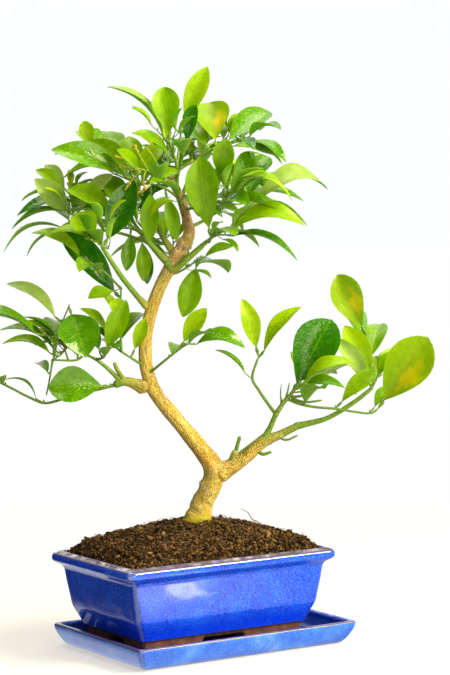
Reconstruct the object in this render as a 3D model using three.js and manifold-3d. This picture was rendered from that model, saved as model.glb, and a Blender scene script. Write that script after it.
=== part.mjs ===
// A citrus bonsai in a blue glazed pot that stands in its drip tray.
//
// Frame: millimetres, +Z up, X along the pot's long side, origin at the middle of the tray's flat
// underside. The plant has a frame of its own, measured from the middle of the flat cut under the
// trunk: across (to the right as the tree is looked at), behind (away from the onlooker) and up.
//
// The trunk is one tapering limb from its flat cut on the soil to the dead stub at its tip. Boughs
// start 0.3 mm clear of the limb that carries them. Each mass of leaves is one body: stems that
// start 0.3 mm clear of a bough's tip or of the trunk, with leaves fused on, and then sprigs that
// branch off by a seeded rule. A leaf is a folded, arched blade on a short stalk. A leaf or twig
// that would leave its mass's space, or touch a limb or another mass, is left out.

import * as THREE from "three";
import { mergeVertices } from "three/addons/utils/BufferGeometryUtils.js";
import Module from "manifold-3d";

const wasm = await Module();
wasm.setup();

// Clearance between pieces that rest on or meet each other.
const GAP = 0.3;

// Drip tray: outline at the rim and at the underside, height, floor and wall.
const TRAY_LONG = 159.6;
const TRAY_WIDE = 107;
const TRAY_HIGH = 14.4;
const TRAY_CORNER = 3.6;
const TRAY_FLOOR = 4.2;
const TRAY_RIM = 3.8;
// Outer profile: height, and how far the wall has drawn in from the rim's outline.
const TRAY_PROFILE = [[0, 8], [1.3, 6], [4, 3.8], [7.6, 1.8], [11.4, 0.3], [TRAY_HIGH, 0]];

// Pot: outline at the rim and at the end of the glaze, heights above the tray's underside.
const POT_AT = [-3.5, 7];
const POT_RIM = [153.5, 98.5];
const POT_HEEL = [120.5, 74];
const POT_TOP = 60;
const POT_CORNER = { rim: 5.5, heel: 3.5, least: 1.5 };
const POT_WALL = 5;
const HEEL_Z = 13;
const FOOT_Z = TRAY_FLOOR + GAP;
const POT_FLOOR_Z = 17.5;
// Outer profile: height, and how far from the rim's outline to the heel's (0 to 1).
const POT_PROFILE = [
  [HEEL_Z, 1], [17, 0.9], [21, 0.78], [25, 0.65], [31, 0.575], [48, 0.4], [51, 0.32], [53.2, 0.1], [54.6, 0.01],
  [POT_TOP, 0],
];
const FOOT_INSET = 1.6;
const FOOT_WALL = 9;
const FOOT_ARCH = { long: [38, 28], wide: [24, 17], high: 6.5 };
const DRAIN = { radius: 4.5, apart: 56 };

// Soil: how high the heap stands, and the round patch that the trunk stands on.
const SOIL_EDGE_Z = 57.5;
const SOIL_PEAK_Z = 78 - GAP;
const SOIL_PATCH = 11;
const SOIL_LUMP = 0.9;
// The heap's slope: share of the way in from the pot's wall, share of the heap's height.
const SOIL_SLOPE = [[0.05, 0.16], [0.16, 0.42], [0.34, 0.6], [0.55, 0.75], [0.76, 0.89], [0.93, 0.99], [1, 1]];

// Plant: where the trunk's foot stands, and how far the plant is turned from the pot's long side.
const FOOT = [-0.3, 7, 78];
const PLANT_TURN = -33.2;

// Leaves: stalk, half thickness at the midrib, upward fold of the edges, and the usual proportions.
const STALK = 6;
const STALK_RADIUS = 0.55;
const BLADE_HALF = 0.5;
const FOLD = 0.28;
const WIDE = 0.46;
const ARCH = 0.1;
// Rings of a leaf body along its blade, from the leaf's base (0) to its tip (1).
const BLADE_RINGS = [0, 0.2, 0.5, 0.8, 1];

// How far leaves stay from limbs, from other masses and from leaves of their own mass.
const CLEAR_LIMB = 1.2;
const CLEAR_OTHER = 3.2;
const CLEAR_OWN = 2.2;
const FINE = 0.05;

// The trunk's way points start this far under its flat cut.
const TRUNK_SUNK = 5;

// Limbs: the limb each starts on, way points [across, behind, up] and thickness at each of them.
const LIMBS = {
  trunk: {
    path: [[-1.5, 0, -5], [0.5, 0, 1.5], [1.8, 0, 5], [4, 0, 12], [9, -1, 22], [10.5, -1, 32], [3, -1, 44], [-14, 1, 65], [-27, 3, 82],
      [-32, 3, 101], [-30.5, 2, 122], [-23, 0, 145], [-13, -2, 164], [-4, -1, 178], [-4.5, 0, 188], [-10, 0, 205],
      [-19, 0, 220]],
    thick: [19, 17, 14.8, 13.4, 13.2, 13.4, 10.6, 9.2, 8.6, 8.2, 8, 7.8, 8.4, 9.8, 8.4, 7, 5],
  },
  bough_right: {
    on: "trunk",
    path: [[10, -1, 28], [22, -2, 34], [31, -3, 40], [41, -4, 49], [52, -5, 54], [64, -6, 59.5], [81, -6, 64],
      [97, -5, 73], [109, -4, 82]],
    thick: [11, 9.6, 7.6, 7.4, 5.4, 4.2, 3.1, 2.8, 2.5],
  },
  bough_right_inner: {
    on: "bough_right",
    path: [[41, -4, 49], [46, -6, 59], [49.5, -8, 67], [54, -9, 74], [59, -10, 80]],
    thick: [3.6, 3.2, 3.2, 2.8, 2.4],
  },
  bough_low_left: {
    on: "trunk",
    path: [[-30, 2, 82], [-38, 0, 86], [-45, -2, 88], [-52, -3, 85.5]],
    thick: [7.4, 6.6, 5.6, 4.6],
  },
  bough_low_left_upper: {
    on: "bough_low_left",
    path: [[-46, -2, 87], [-51, -3, 92], [-56, -4, 97], [-62, -5, 102]],
    thick: [3, 2.6, 2.4, 2.2],
  },
  bough_left: {
    on: "trunk",
    path: [[-29, 2, 133], [-36, -4, 141], [-45, -11, 153], [-53, -17, 166], [-56, -19, 171]],
    thick: [4.4, 3.6, 3.2, 2.8, 2.4],
  },
  bough_left_upper: {
    on: "trunk",
    path: [[-15, -1, 161], [-22, -2, 167], [-28, -3, 174], [-33, -4, 180]],
    thick: [4.6, 4, 3.6, 3],
  },
  bough_left_outer: {
    on: "bough_left_upper",
    path: [[-28, -3, 174], [-36, 3, 177], [-52, 6, 181.5], [-72, 5, 183]],
    thick: [2.4, 2, 1.8, 1.6],
  },
  bough_left_top: {
    on: "trunk",
    path: [[-12, -1, 166], [-19, 2, 176], [-25, 5, 188], [-31, 6, 198], [-34, 5, 205]],
    thick: [4.2, 3.8, 3.4, 3, 2.6],
  },
  bough_crown_right: {
    on: "trunk",
    path: [[-15, -1, 157], [-10, -6, 160], [-3, -8, 166], [6, -9, 174]],
    thick: [4.6, 4.2, 3.8, 3.2],
  },
};

// Masses of leaves. Each row of leaves is: stem, share along it, aim (0 right, 90 behind, 180 left,
// 270 in front), rise above level, blade length, how far the upper side is turned from straight up
// towards the onlooker, and where it differs from the usual, width over length, and arch.
// Sprigs are seeded twigs: how many, aim and its spread, and rise. The space is a centre and reach.
const MASSES = {
  leaves_right_pair: {
    on: "bough_right_inner",
    stems: [[[49.5, -8, 67], [45, -6, 73], [39, -5, 82], [35, -4, 90], [39, -4, 103]]],
    thick: 2.2,
    leaves: [[0, 1, 185, 76, 32, 62, 0.36], [0, 0.98, 5, 50, 38, 28, 0.3, 0.12],
      [0, 0.72, 172, 40, 24, 8, 0.3]],
  },
  leaves_right_inner: {
    on: "bough_right_inner",
    stems: [[[59, -10, 80], [62, -11, 84], [66, -11, 90]]],
    thick: 2.2,
    leaves: [[0, 0.15, 15, 62, 46, 78, 0.62], [0, 0.5, 356, 27, 36, 34, 0.3, 0.2],
      [0, 0.3, 24, 24, 36, 40, 0.34], [0, 0.1, 345, 8, 28, 30, 0.34, 0.22]],
    more: [[0, 1, 60, 60, 34, 20], [0, 0.9, 85, 25, 30, 10], [0, 0.7, 45, 8, 30, 10]],
  },
  leaves_right_low: {
    on: "bough_right_inner",
    stems: [[[56, -9, 77], [64, -13, 74], [74, -14, 72], [86, -15, 71], [98, -15, 69], [108, -15, 68], [113, -15, 71]]],
    thick: 1.9,
    leaves: [[0, 0.5, 8, 44, 30, 50, 0.4], [0, 1, 350, 57, 50, 80, 0.54, 0.06],
      [0, 0.82, 40, 40, 20, 30, 0.4]],
    more: [[0, 0.2, 300, 20, 34, 20]],
  },
  leaves_right_outer: {
    on: "bough_right",
    stems: [[[109, -4, 82], [112, -2, 87]], [[111, -3, 85], [108, 3, 98], [107, 6, 115]]],
    thick: 2.2,
    leaves: [[1, 1, 176, 62, 37, 85, 0.52, 0.08], [0, 0.9, 160, 62, 36, 75, 0.44, 0.12],
      [0, 0.2, 200, 56, 33, 66, 0.36, 0.1], [0, 0.8, 45, 50, 22, 40, 0.5], [0, 0.3, 80, 20, 26, 20, 0.5],
      [0, 1, 10, 62, 16, 60, 0.4]],
    more: [[1, 0.5, 70, 35, 36, 10], [1, 0.8, 120, 40, 34, 10]],
    sprigs: [2, 70, 60, 20],
    space: [112, 18, 100, 34, 32, 34],
  },
  leaves_low_left: {
    on: "bough_low_left_upper",
    stems: [[[-62, -5, 102], [-59, -10, 103], [-57, -14, 104]]],
    thick: 1.8,
    leaves: [[0, 1, 18, 68, 33, 70, 0.38, 0.06], [0, 0.6, 150, 70, 14, 60, 0.5]],
    more: [[0, 0.7, 290, 15, 30, 30]],
  },
  leaves_far_left: {
    on: "bough_low_left_upper",
    stems: [[[-62, -5, 102], [-69, -7, 105], [-75, -9, 102], [-89, -11, 102.5]],
      [[-88, -11, 102], [-88, -14, 110], [-85, -16, 116.5]], [[-85, -16, 116.5], [-93, -16, 118]],
      [[-89, -11, 102.5], [-91, -10, 91], [-93.5, -8, 80]],
      [[-87.6, -12.6, 106], [-84, -10.5, 122], [-78, -11, 137]]],
    thick: 1.8,
    leaves: [[4, 0.96, 300, -54, 30, 58, 0.85], [4, 0.62, 160, 36, 40, 20, 0.3, 0.14],
      [2, 1, 184, 15, 46, 14, 0.4, 0.14], [3, 0.4, 110, 10, 24, 10, 0.3]],
    more: [[1, 0.5, 95, 25, 34, 5], [0, 0.6, 95, 15, 30, 10]],
    sprigs: [3, 114, 70, 25],
    space: [-92, 12, 122, 36, 34, 34],
  },
  leaves_whip: {
    on: "bough_low_left",
    stems: [[[-52, -3, 85.5], [-60, -4, 83.5], [-72, -4, 81], [-85, -5, 77], [-95, -5, 75], [-105, -5, 79],
      [-116, -6, 85], [-128, -6, 91], [-138, -6, 94]]],
    thick: 2,
    leaves: [[0, 0.02, 196, 2, 34, 66, 0.66, 0.05], [0, 0.5, 175, 30, 24, 0, 0.2, 0.26],
      [0, 0.93, 100, 20, 26, 10, 0.36], [0, 0.78, 260, 15, 24, 15, 0.36]],
  },
  leaves_left_middle: {
    on: "trunk",
    stems: [[[-31, 3, 96], [-38, -2, 101], [-47, -4, 107]], [[-46.5, -4, 107], [-47, -5, 129], [-46, -8, 147]],
      [[-46, -7, 146], [-55, -14, 156], [-66, -16, 164]]],
    thick: 2,
    leaves: [[0, 0.65, 355, 68, 22, 72, 0.38, 0.05], [1, 0.45, 200, 58, 16, 40, 0.4],
      [1, 0.8, 162, 48, 55, 55, 0.34, 0.05], [1, 0.98, 200, -15, 16, 55, 0.62],
      [1, 0.9, 260, -32, 14, 40, 0.6], [0, 1, 150, 40, 18, 30, 0.34]],
    more: [[2, 1, 150, 30, 34, 20], [2, 0.6, 250, 5, 34, 30]],
    sprigs: [3, 130, 60, 10],
    space: [-62, 14, 138, 36, 34, 34],
  },
  leaves_middle_right: {
    on: "trunk",
    stems: [[[-30, 2, 92], [-22, -4, 99], [-12, -8, 107], [-5, -9, 112]]],
    thick: 1.9,
    leaves: [[0, 0.98, 358, -2, 30, 35, 0.44, 0.24], [0, 0.72, 8, 57, 26, 60, 0.46, 0.04],
      [0, 0.9, 300, 15, 30, 10, 0.34]],
    more: [[0, 0.5, 70, 10, 28, 10]],
  },
  leaves_left: {
    on: "bough_left",
    stems: [[[-56, -19, 171], [-58, -20, 175]]],
    thick: 2.2,
    leaves: [[0, 1, 165, 50, 20, 70, 0.8], [0, 0.3, 22, 62, 40, 84, 0.44, 0.05]],
    more: [[0, 0.6, 250, 15, 36, 25]],
    sprigs: [3, 240, 80, 15],
    space: [-62, -30, 178, 36, 30, 32],
  },
  leaves_left_inner: {
    on: "bough_left_upper",
    stems: [[[-33, -4, 180], [-38, -4, 184], [-47, -4, 191]]],
    thick: 2.4,
    leaves: [[0, 0.02, 320, -84, 23, 88, 0.4, 0.04], [0, 0.08, 40, -80, 25, 70, 0.4, 0.04],
      [0, 0.6, 230, -82, 22, 80, 0.4, 0.05], [0, 0.2, 150, 36, 28, 5, 0.3, 0.08]],
    more: [[0, 1, 205, 30, 34, 40], [0, 0.8, 120, 50, 32, 30]],
  },
  leaves_left_outer: {
    on: "bough_left_outer",
    stems: [[[-72, 5, 183], [-76, 3, 186], [-76, 2, 195], [-78, 1, 206]]],
    thick: 1.9,
    leaves: [[0, 0.55, 212, 40, 30, 65, 0.48], [0, 0.5, 350, 50, 32, 45, 0.34, 0.05],
      [0, 0.97, 15, 50, 12, 20, 0.4, 0.2], [0, 1, 200, 36, 20, 45, 0.46],
      [0, 0.95, 150, 48, 20, 40, 0.46], [0, 0.25, 183, -16, 40, 2, 0.24, 0.22],
      [0, 0.1, 200, -26, 30, 2, 0.22, 0.2]],
    more: [[0, 0.6, 80, 30, 34, 20], [0, 0.4, 120, 15, 36, 15]],
    sprigs: [4, 150, 110, 20],
    space: [-88, 10, 196, 36, 34, 30],
  },
  leaves_left_top: {
    on: "bough_left_top",
    stems: [[[-34, 5, 205], [-38, 3, 214]], [[-37, 4, 212], [-50, 12, 221], [-63, 15, 229]]],
    thick: 2.2,
    leaves: [[0, 1, 186, 20, 50, 46, 0.36, 0.1], [0, 0.85, 160, 42, 34, 48, 0.42, 0.14],
      [0, 0.9, 20, 52, 22, 50, 0.6], [1, 1, 175, 74, 18, 85, 0.54]],
    more: [[0, 0.6, 110, 60, 30, 30], [1, 0.5, 100, 35, 36, 20], [1, 0.9, 60, 30, 34, 15],
      [1, 0.7, 215, 10, 32, 20]],
    sprigs: [3, 150, 80, 30],
    space: [-52, 18, 222, 40, 34, 30],
  },
  leaves_inner: {
    on: "trunk",
    stems: [[[-10, 0, 202], [-18, -7, 208], [-27, -9, 211], [-36, -10, 210]]],
    thick: 1.7,
    leaves: [[0, 1, 10, -66, 24, 75, 0.38], [0, 0.66, 260, -80, 28, 80, 0.44],
      [0, 0.35, 330, -74, 26, 70, 0.38], [0, 0.85, 240, 35, 30, 50, 0.44],
      [0, 0.95, 350, 18, 22, 45, 0.42]],
    more: [[0, 0.5, 275, 20, 32, 35]],
    sprigs: [2, 250, 60, 30],
    space: [-24, -24, 208, 32, 30, 30],
  },
  leaves_front: {
    on: "trunk",
    stems: [[[-8, 0, 196], [-9, -10, 200], [-6, -17, 203]]],
    thick: 1.7,
    leaves: [[0, 1, 190, -28, 18, 25, 0.36, 0.2], [0, 1, 348, -26, 20, 32, 0.4, 0.12]],
    more: [[0, 0.9, 275, 15, 30, 30]],
  },
  leaves_crown_right: {
    on: "bough_crown_right",
    stems: [[[6, -9, 174], [11, -13, 178], [16, -17, 182]], [[8, -11, 175.5], [9, -18, 175], [10, -25, 178]]],
    thick: 2.4,
    leaves: [[0, 1, 358, 4, 46, 40, 0.34, 0.24], [0, 0.9, 14, 6, 50, 12, 0.28, 0.3],
      [1, 1, 180, 79, 46, 84, 0.44, 0.05], [0, 0.7, 320, -28, 14, 10, 0.4]],
    more: [[0, 0.5, 290, 5, 32, 25]],
    sprigs: [2, 300, 60, 5],
    space: [34, -26, 188, 38, 30, 26],
  },
  leaves_under_crown: {
    on: "trunk",
    stems: [[[-17, -1, 154], [-10, 6, 156], [-3, 9, 160], [2, 9, 164]]],
    thick: 1.8,
    leaves: [[0, 1, 200, -74, 32, 85, 0.46, 0.05], [0, 0.9, 350, 22, 20, 35, 0.36],
      [0, 0.5, 330, -14, 14, 10, 0.34]],
    more: [[0, 0.8, 60, -10, 34, 10], [0, 0.6, 110, 10, 34, 10]],
  },
  leaves_top: {
    on: "trunk",
    stems: [[[-11, 0, 207], [-11, -2, 222], [-15, -3, 236]], [[-11, -1, 222], [-9, 5, 236], [-8, 6, 246]],
      [[-11, -1, 214], [-8, -6, 224], [-6, -7, 231]]],
    thick: 2.4,
    leaves: [[0, 1, 120, 80, 32, 84, 0.52, 0.03], [0, 0.95, 178, 44, 48, 4, 0.26, 0.16],
      [1, 1, 8, 67, 38, 68, 0.36, 0.04], [2, 1, 350, 76, 24, 50, 0.42]],
    more: [[0, 0.6, 215, 30, 30, 40], [1, 0.8, 130, 30, 36, 15], [2, 0.7, 270, 20, 28, 30]],
    sprigs: [3, 200, 90, 40],
    space: [-18, -6, 244, 34, 34, 34],
  },
  leaves_top_right: {
    on: "trunk",
    stems: [[[-8, 0, 203], [-1, 1, 220], [7, 0, 230], [20, -2, 235.5], [31, -2, 239]]],
    thick: 2.4,
    leaves: [[0, 0.63, 98, 52, 32, 42, 0.72, 0.04], [0, 0.7, 40, 30, 38, 50, 0.5, 0.08],
      [0, 1, 305, 8, 32, 4, 0.36, 0.14], [0, 0.85, 290, -6, 26, 10, 0.4],
      [0, 0.72, 345, -10, 28, 30, 0.4], [0, 1, 345, -26, 26, 25, 0.34, 0.18],
      [0, 0.36, 75, 28, 34, 5, 0.3, 0.18]],
    more: [[0, 0.9, 70, 10, 36, 15], [0, 0.55, 150, 30, 34, 30]],
    sprigs: [2, 100, 40, 5],
    space: [26, 20, 240, 34, 34, 26],
  },
  leaves_right_upper: {
    on: "trunk",
    stems: [[[-7, 0, 195], [6, -10, 197], [21, -18, 201]], [[6, -10, 197], [10, -15, 205], [14, -18, 211]],
      [[19, -17, 200], [26, -6, 198], [33, 0, 199]]],
    thick: 2,
    leaves: [[1, 1, 300, 62, 26, 80, 0.5], [1, 0.95, 352, -9, 42, 20, 0.28, 0.24],
      [0, 0.98, 25, 45, 36, 62, 0.54], [2, 1, 12, 10, 50, 38, 0.38, 0.26],
      [0, 1, 345, 18, 34, 30, 0.32, 0.2], [2, 0.8, 60, 42, 26, 40, 0.5]],
    more: [[2, 1, 70, 15, 34, 10], [0, 0.8, 290, 0, 30, 30]],
    sprigs: [3, 320, 80, 15],
    space: [38, -24, 206, 34, 30, 24],
  },
  leaves_back_left: {
    on: "trunk",
    stems: [[[-15, 0, 160], [-22, 14, 170], [-34, 28, 180], [-44, 38, 192]]],
    thick: 2.6,
    leaves: [],
    sprigs: [8, 110, 110, 20],
    space: [-50, 40, 188, 48, 38, 42],
  },
  leaves_back_right: {
    on: "trunk",
    stems: [[[-3, 2, 184], [6, 16, 188], [18, 28, 196], [30, 36, 206]]],
    thick: 2.4,
    leaves: [],
    sprigs: [9, 50, 110, 15],
    space: [34, 36, 204, 44, 38, 38],
  },
  leaves_back_top: {
    on: "trunk",
    stems: [[[-8, 0, 199], [-13, 14, 208], [-12, 24, 218], [-8, 32, 230]]],
    thick: 2.4,
    leaves: [],
    sprigs: [8, 90, 130, 30],
    space: [-8, 36, 232, 42, 36, 38],
  },
};

// Sprigs: their twig's length, the leaves on one, and how a leaf's values are drawn.
const SPRIG_SEED = 20;
const SPRIG_TWIG = [9, 9];
const SPRIG_LEAVES = 3;
const SPRIG_LEAF = [30, 12];
const SPRIG_THICK = 1.3;
const SPIRAL = 137.5;

// A leaf that would touch another swings aside by the first of these angles that clears it.
const SWINGS = [0, 12, -12, 24, -24, 36, -36, 48, -48];

const deg = Math.PI / 180;
const vec = (p) => new THREE.Vector3(...p);
const heading = (aim, rise) =>
  new THREE.Vector3(
    Math.cos(rise * deg) * Math.cos(aim * deg),
    Math.cos(rise * deg) * Math.sin(aim * deg),
    Math.sin(rise * deg),
  );

// A closed body: the rings of a capped cylinder, each point set by place(share along, turn, reach),
// where reach is 1 on the side and 0 at the middle of a cap.
function body(sides, steps, place) {
  const tube = new THREE.CylinderGeometry(1, 1, 1, sides, steps);
  tube.deleteAttribute("normal");
  tube.deleteAttribute("uv");
  const closed = mergeVertices(tube, 1e-4);
  const at = closed.attributes.position;
  for (let i = 0; i < at.count; i += 1) {
    const [x, y, z] = [at.getX(i), at.getY(i), at.getZ(i)];
    const p = place(y + 0.5, Math.atan2(x, z), Math.hypot(x, z));
    at.setXYZ(i, p.x, p.y, p.z);
  }
  return solid(closed);
}

function solid(geometry) {
  return new wasm.Manifold(
    new wasm.Mesh({
      numProp: 3,
      vertProperties: geometry.attributes.position.array,
      triVerts: new Uint32Array(geometry.index.array),
    }),
  );
}

// A mesh of the largest body in a solid: a cut can leave a scrap behind.
function mesh(name, shape, material) {
  const largest = shape.decompose().sort((a, b) => b.volume() - a.volume())[0];
  const data = largest.getMesh();
  const geometry = new THREE.BufferGeometry();
  geometry.setAttribute("position", new THREE.BufferAttribute(data.vertProperties, 3));
  geometry.setIndex(new THREE.BufferAttribute(data.triVerts, 1));
  geometry.computeVertexNormals();
  const made = new THREE.Mesh(geometry, material);
  made.name = name;
  return made;
}

// Point and thickness of a limb at a share of the way along its way points.
function alongLimb(limb, share) {
  const last = limb.path.length - 1;
  const place = Math.min(share * last, last - 1e-9);
  const index = Math.floor(place);
  const { thick } = limb;
  return {
    point: limb.curve.getPoint(share),
    radius: THREE.MathUtils.lerp(thick[index], thick[index + 1], place - index) / 2,
  };
}

// Gives a limb its smooth curve, and a thickness at each way point.
function limbOf({ path, thick }) {
  const points = path.map(vec);
  const taper = (i) => thick * (1 - (0.35 * i) / (path.length - 1));
  return {
    path,
    thick: Array.isArray(thick) ? thick : path.map((_, i) => taper(i)),
    curve: new THREE.CatmullRomCurve3(points, false, "catmullrom", 0.5),
  };
}

// A tapering limb as a body, made fatter and longer at both ends by extra. A fluted one has lobes.
function limbBody(limb, sides, extra = 0, lobes = 0) {
  const steps = Math.max(1, Math.round(limb.curve.getLength() / 8));
  const ends = limb.curve.getPoint(1).sub(limb.curve.getPoint(0)).normalize();
  const across = Math.abs(ends.y) > 0.7 ? new THREE.Vector3(0, 0, 1) : new THREE.Vector3(0, 1, 0);
  return body(sides, steps, (share, turn, reach) => {
    const { point, radius } = alongLimb(limb, share);
    const ahead = limb.curve.getTangent(share);
    const front = across.clone().addScaledVector(ahead, -across.dot(ahead)).normalize();
    const side = new THREE.Vector3().crossVectors(ahead, front);
    const flute = 1 + lobes * Math.cos(3 * turn + 9 * share);
    const out = (radius * flute + extra) * reach;
    const over = share === 0 ? -extra : share === 1 ? extra : 0;
    return point
      .addScaledVector(side, out * Math.sin(turn))
      .addScaledVector(front, out * Math.cos(turn))
      .addScaledVector(ahead, over);
  });
}

// A leaf's blade: where it starts, its three directions, and its size.
function bladeOf(root, aim, rise, length, face, wide = WIDE, arch = ARCH) {
  const ahead = heading(aim, rise);
  const top = new THREE.Vector3(0, -Math.sin(face * deg), Math.cos(face * deg));
  top.addScaledVector(ahead, -top.dot(ahead)).normalize();
  const side = new THREE.Vector3().crossVectors(ahead, top);
  const base = root.clone().addScaledVector(ahead, STALK);
  return { root: root.clone(), base, ahead, top, side, length, half: (wide * length) / 2, arch };
}

// Half width of a blade as a share of its widest: widest a little past the middle.
const outline = (t) => Math.sin(Math.PI * Math.min(Math.max(t, 0), 1) ** 1.1) ** 0.75;

// A point of the blade: t from base to tip, across from -1 at one edge to 1 at the other.
function onBlade(blade, t, across) {
  const width = blade.half * outline(t);
  const rise = blade.arch * blade.length * 4 * t * (1 - t) + FOLD * width * Math.abs(across);
  return blade.base
    .clone()
    .addScaledVector(blade.ahead, blade.length * t)
    .addScaledVector(blade.top, rise)
    .addScaledVector(blade.side, width * across);
}

// The leaf as a body with three edges: the two sides of the blade and the keel under its midrib.
function leafBody(blade) {
  const rings = BLADE_RINGS.length;
  return body(3, rings, (share, turn, reach) => {
    const ring = Math.round(share * rings) - 1;
    const isStalk = ring < 1;
    const t = isStalk ? 0 : BLADE_RINGS[ring];
    const centre = ring < 0 ? blade.root.clone() : onBlade(blade, t, 0);
    const half = isStalk ? STALK_RADIUS : Math.max(STALK_RADIUS / 2, blade.half * outline(t));
    const keel = isStalk ? STALK_RADIUS : Math.max(STALK_RADIUS / 2, BLADE_HALF * outline(t));
    const lift = isStalk ? STALK_RADIUS / 2 : Math.max(STALK_RADIUS / 4, FOLD * half);
    const onKeel = Math.abs(Math.sin(turn)) < 0.1;
    return centre
      .addScaledVector(blade.side, onKeel ? 0 : -half * Math.sign(Math.sin(turn)) * reach)
      .addScaledVector(blade.top, (onKeel ? -keel : lift) * reach);
  });
}

// Points that stand for a leaf or a limb when pieces are kept apart, each with its radius.
function leafPoints(blade) {
  const points = [];
  for (let i = 1; i <= 9; i += 1) {
    for (let j = -2; j <= 2; j += 1) points.push({ at: onBlade(blade, i / 9, j * 0.45), t: i / 9, radius: 0 });
  }
  return points;
}

function limbPoints(limb) {
  const count = Math.max(2, Math.round(limb.curve.getLength() / 2));
  return Array.from({ length: count + 1 }, (_, i) => {
    const { point, radius } = alongLimb(limb, i / count);
    return { at: point, t: 1, radius };
  });
}

// Whether new points keep clear of everything placed so far.
function isClear(points, owner, placed) {
  return placed.every((other) => {
    const own = other.owner === owner;
    const gap = other.limb ? CLEAR_LIMB : own ? CLEAR_OWN : CLEAR_OTHER;
    return other.points.every((q) =>
      points.every((p) => (own && (p.t < 0.35 || q.t < 0.35)) || p.at.distanceTo(q.at) > gap + q.radius),
    );
  });
}

const inSpace = (point, [x, y, z, rx, ry, rz]) =>
  ((point.x - x) / rx) ** 2 + ((point.y - y) / ry) ** 2 + ((point.z - z) / rz) ** 2 <= 1;

// Repeatable draws between 0 and 1.
function seeded(seed) {
  let state = seed;
  return () => {
    state = (state * 16807) % 2147483647;
    return state / 2147483647;
  };
}

// Places all limbs, stems, leaves and sprigs, and returns the bodies of each mass.
function growPlant() {
  const limbs = Object.fromEntries(Object.entries(LIMBS).map(([name, row]) => [name, limbOf(row)]));
  const placed = Object.entries(limbs).map(([name, limb]) => ({ owner: name, limb: true, points: limbPoints(limb) }));
  const masses = {};

  for (const [name, row] of Object.entries(MASSES)) {
    const stems = row.stems.map((path, i) => limbOf({ path, thick: row.thick * (i ? 0.75 : 1) }));
    masses[name] = { stems, blades: [] };
    for (const stem of stems) placed.push({ owner: name, limb: false, points: limbPoints(stem) });
  }

  const addLeaf = (name, blades, space) => {
    for (const blade of blades) {
      const points = leafPoints(blade);
      if (space && !inSpace(onBlade(blade, 1, 0), space)) continue;
      if (!isClear(points, name, placed)) continue;
      masses[name].blades.push(blade);
      placed.push({ owner: name, limb: false, points });
      return;
    }
  };
  for (const list of ["leaves", "more"]) {
    for (const [name, row] of Object.entries(MASSES)) {
      for (const [stem, share, aim, ...rest] of row[list] ?? []) {
        const root = alongLimb(masses[name].stems[stem], share).point;
        addLeaf(name, SWINGS.map((swing) => bladeOf(root, aim + swing, ...rest)));
      }
    }
  }

  const draw = seeded(SPRIG_SEED);
  const around = (middle, spread) => middle + spread * (2 * draw() - 1);
  for (const [name, { sprigs = [0], space }] of Object.entries(MASSES)) {
    const [count, aim, spread, rise] = sprigs;
    for (let i = 0; i < count; i += 1) {
      const start = alongLimb(masses[name].stems[0], 0.35 + (0.65 * (i + 1)) / count).point;
      const turned = around(aim, spread);
      const length = SPRIG_TWIG[0] + SPRIG_TWIG[1] * draw();
      const end = start.clone().addScaledVector(heading(turned, around(rise, 25)), length);
      const twig = limbOf({ path: [start.toArray(), end.toArray()], thick: SPRIG_THICK });
      const leaves = Array.from({ length: SPRIG_LEAVES }, (_, k) => {
        const aimed = turned + SPIRAL * (k + 1) + around(0, 15);
        const rest = [around(20, 30), SPRIG_LEAF[0] + SPRIG_LEAF[1] * draw(), around(15, 15)];
        return SWINGS.map((swing) => bladeOf(twig.curve.getPoint(1 - 0.2 * k), aimed + swing, ...rest));
      });
      const twigPoints = limbPoints(twig);
      const free = placed.filter((other) => other.owner !== name);
      if (!inSpace(end, space) || !isClear(twigPoints, name, free)) continue;
      masses[name].stems.push(twig);
      placed.push({ owner: name, limb: false, points: twigPoints });
      for (const blades of leaves) addLeaf(name, blades, space);
    }
  }
  return { limbs, masses };
}

// Point of a rounded rectangle's outline at a turn, for a ring of 4 * perCorner points.
function roundedOutline(halfLong, halfWide, corner, turn, perCorner) {
  const sides = 4 * perCorner;
  const index = (Math.round((turn / (2 * Math.PI)) * sides) + sides) % sides;
  const quarter = Math.floor(index / perCorner);
  const angle = (quarter + (index % perCorner) / (perCorner - 1)) * (Math.PI / 2);
  const [signX, signY] = [[1, 1], [-1, 1], [-1, -1], [1, -1]][quarter];
  return new THREE.Vector3(
    signX * (halfLong - corner) + corner * Math.cos(angle),
    signY * (halfWide - corner) + corner * Math.sin(angle),
    0,
  );
}

// A block through levels from its bottom to its top, each a rounded rectangle:
// height, length, width, corner radius, and the middle's shift.
function block(levels, perCorner = 5) {
  const last = levels.length - 1;
  return body(4 * perCorner, last, (share, turn, reach) => {
    const [z, long, wide, corner, x = 0, y = 0] = levels[Math.round(share * last)];
    return roundedOutline(long / 2, wide / 2, corner, turn, perCorner)
      .multiplyScalar(reach)
      .add(new THREE.Vector3(x, y, z));
  });
}

function trayBody() {
  const level = (z, inset) => [z, TRAY_LONG - 2 * inset, TRAY_WIDE - 2 * inset, TRAY_CORNER - inset / 8];
  const outer = block(TRAY_PROFILE.map(([z, inset]) => level(z, inset)));
  const inner = block([
    level(TRAY_FLOOR, 9), level(7, 6.2), level(11, TRAY_RIM + 0.3), level(TRAY_HIGH + 1, TRAY_RIM),
  ]);
  return outer.subtract(inner);
}

// The pot's length, width and corner radius at a height, inset all round.
function potLevel(z, inset, share) {
  const size = (i) => POT_RIM[i] + (POT_HEEL[i] - POT_RIM[i]) * share - 2 * inset;
  const { rim, heel, least } = POT_CORNER;
  return [z, size(0), size(1), Math.max(least, rim + (heel - rim) * share - inset / 2)];
}

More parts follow.
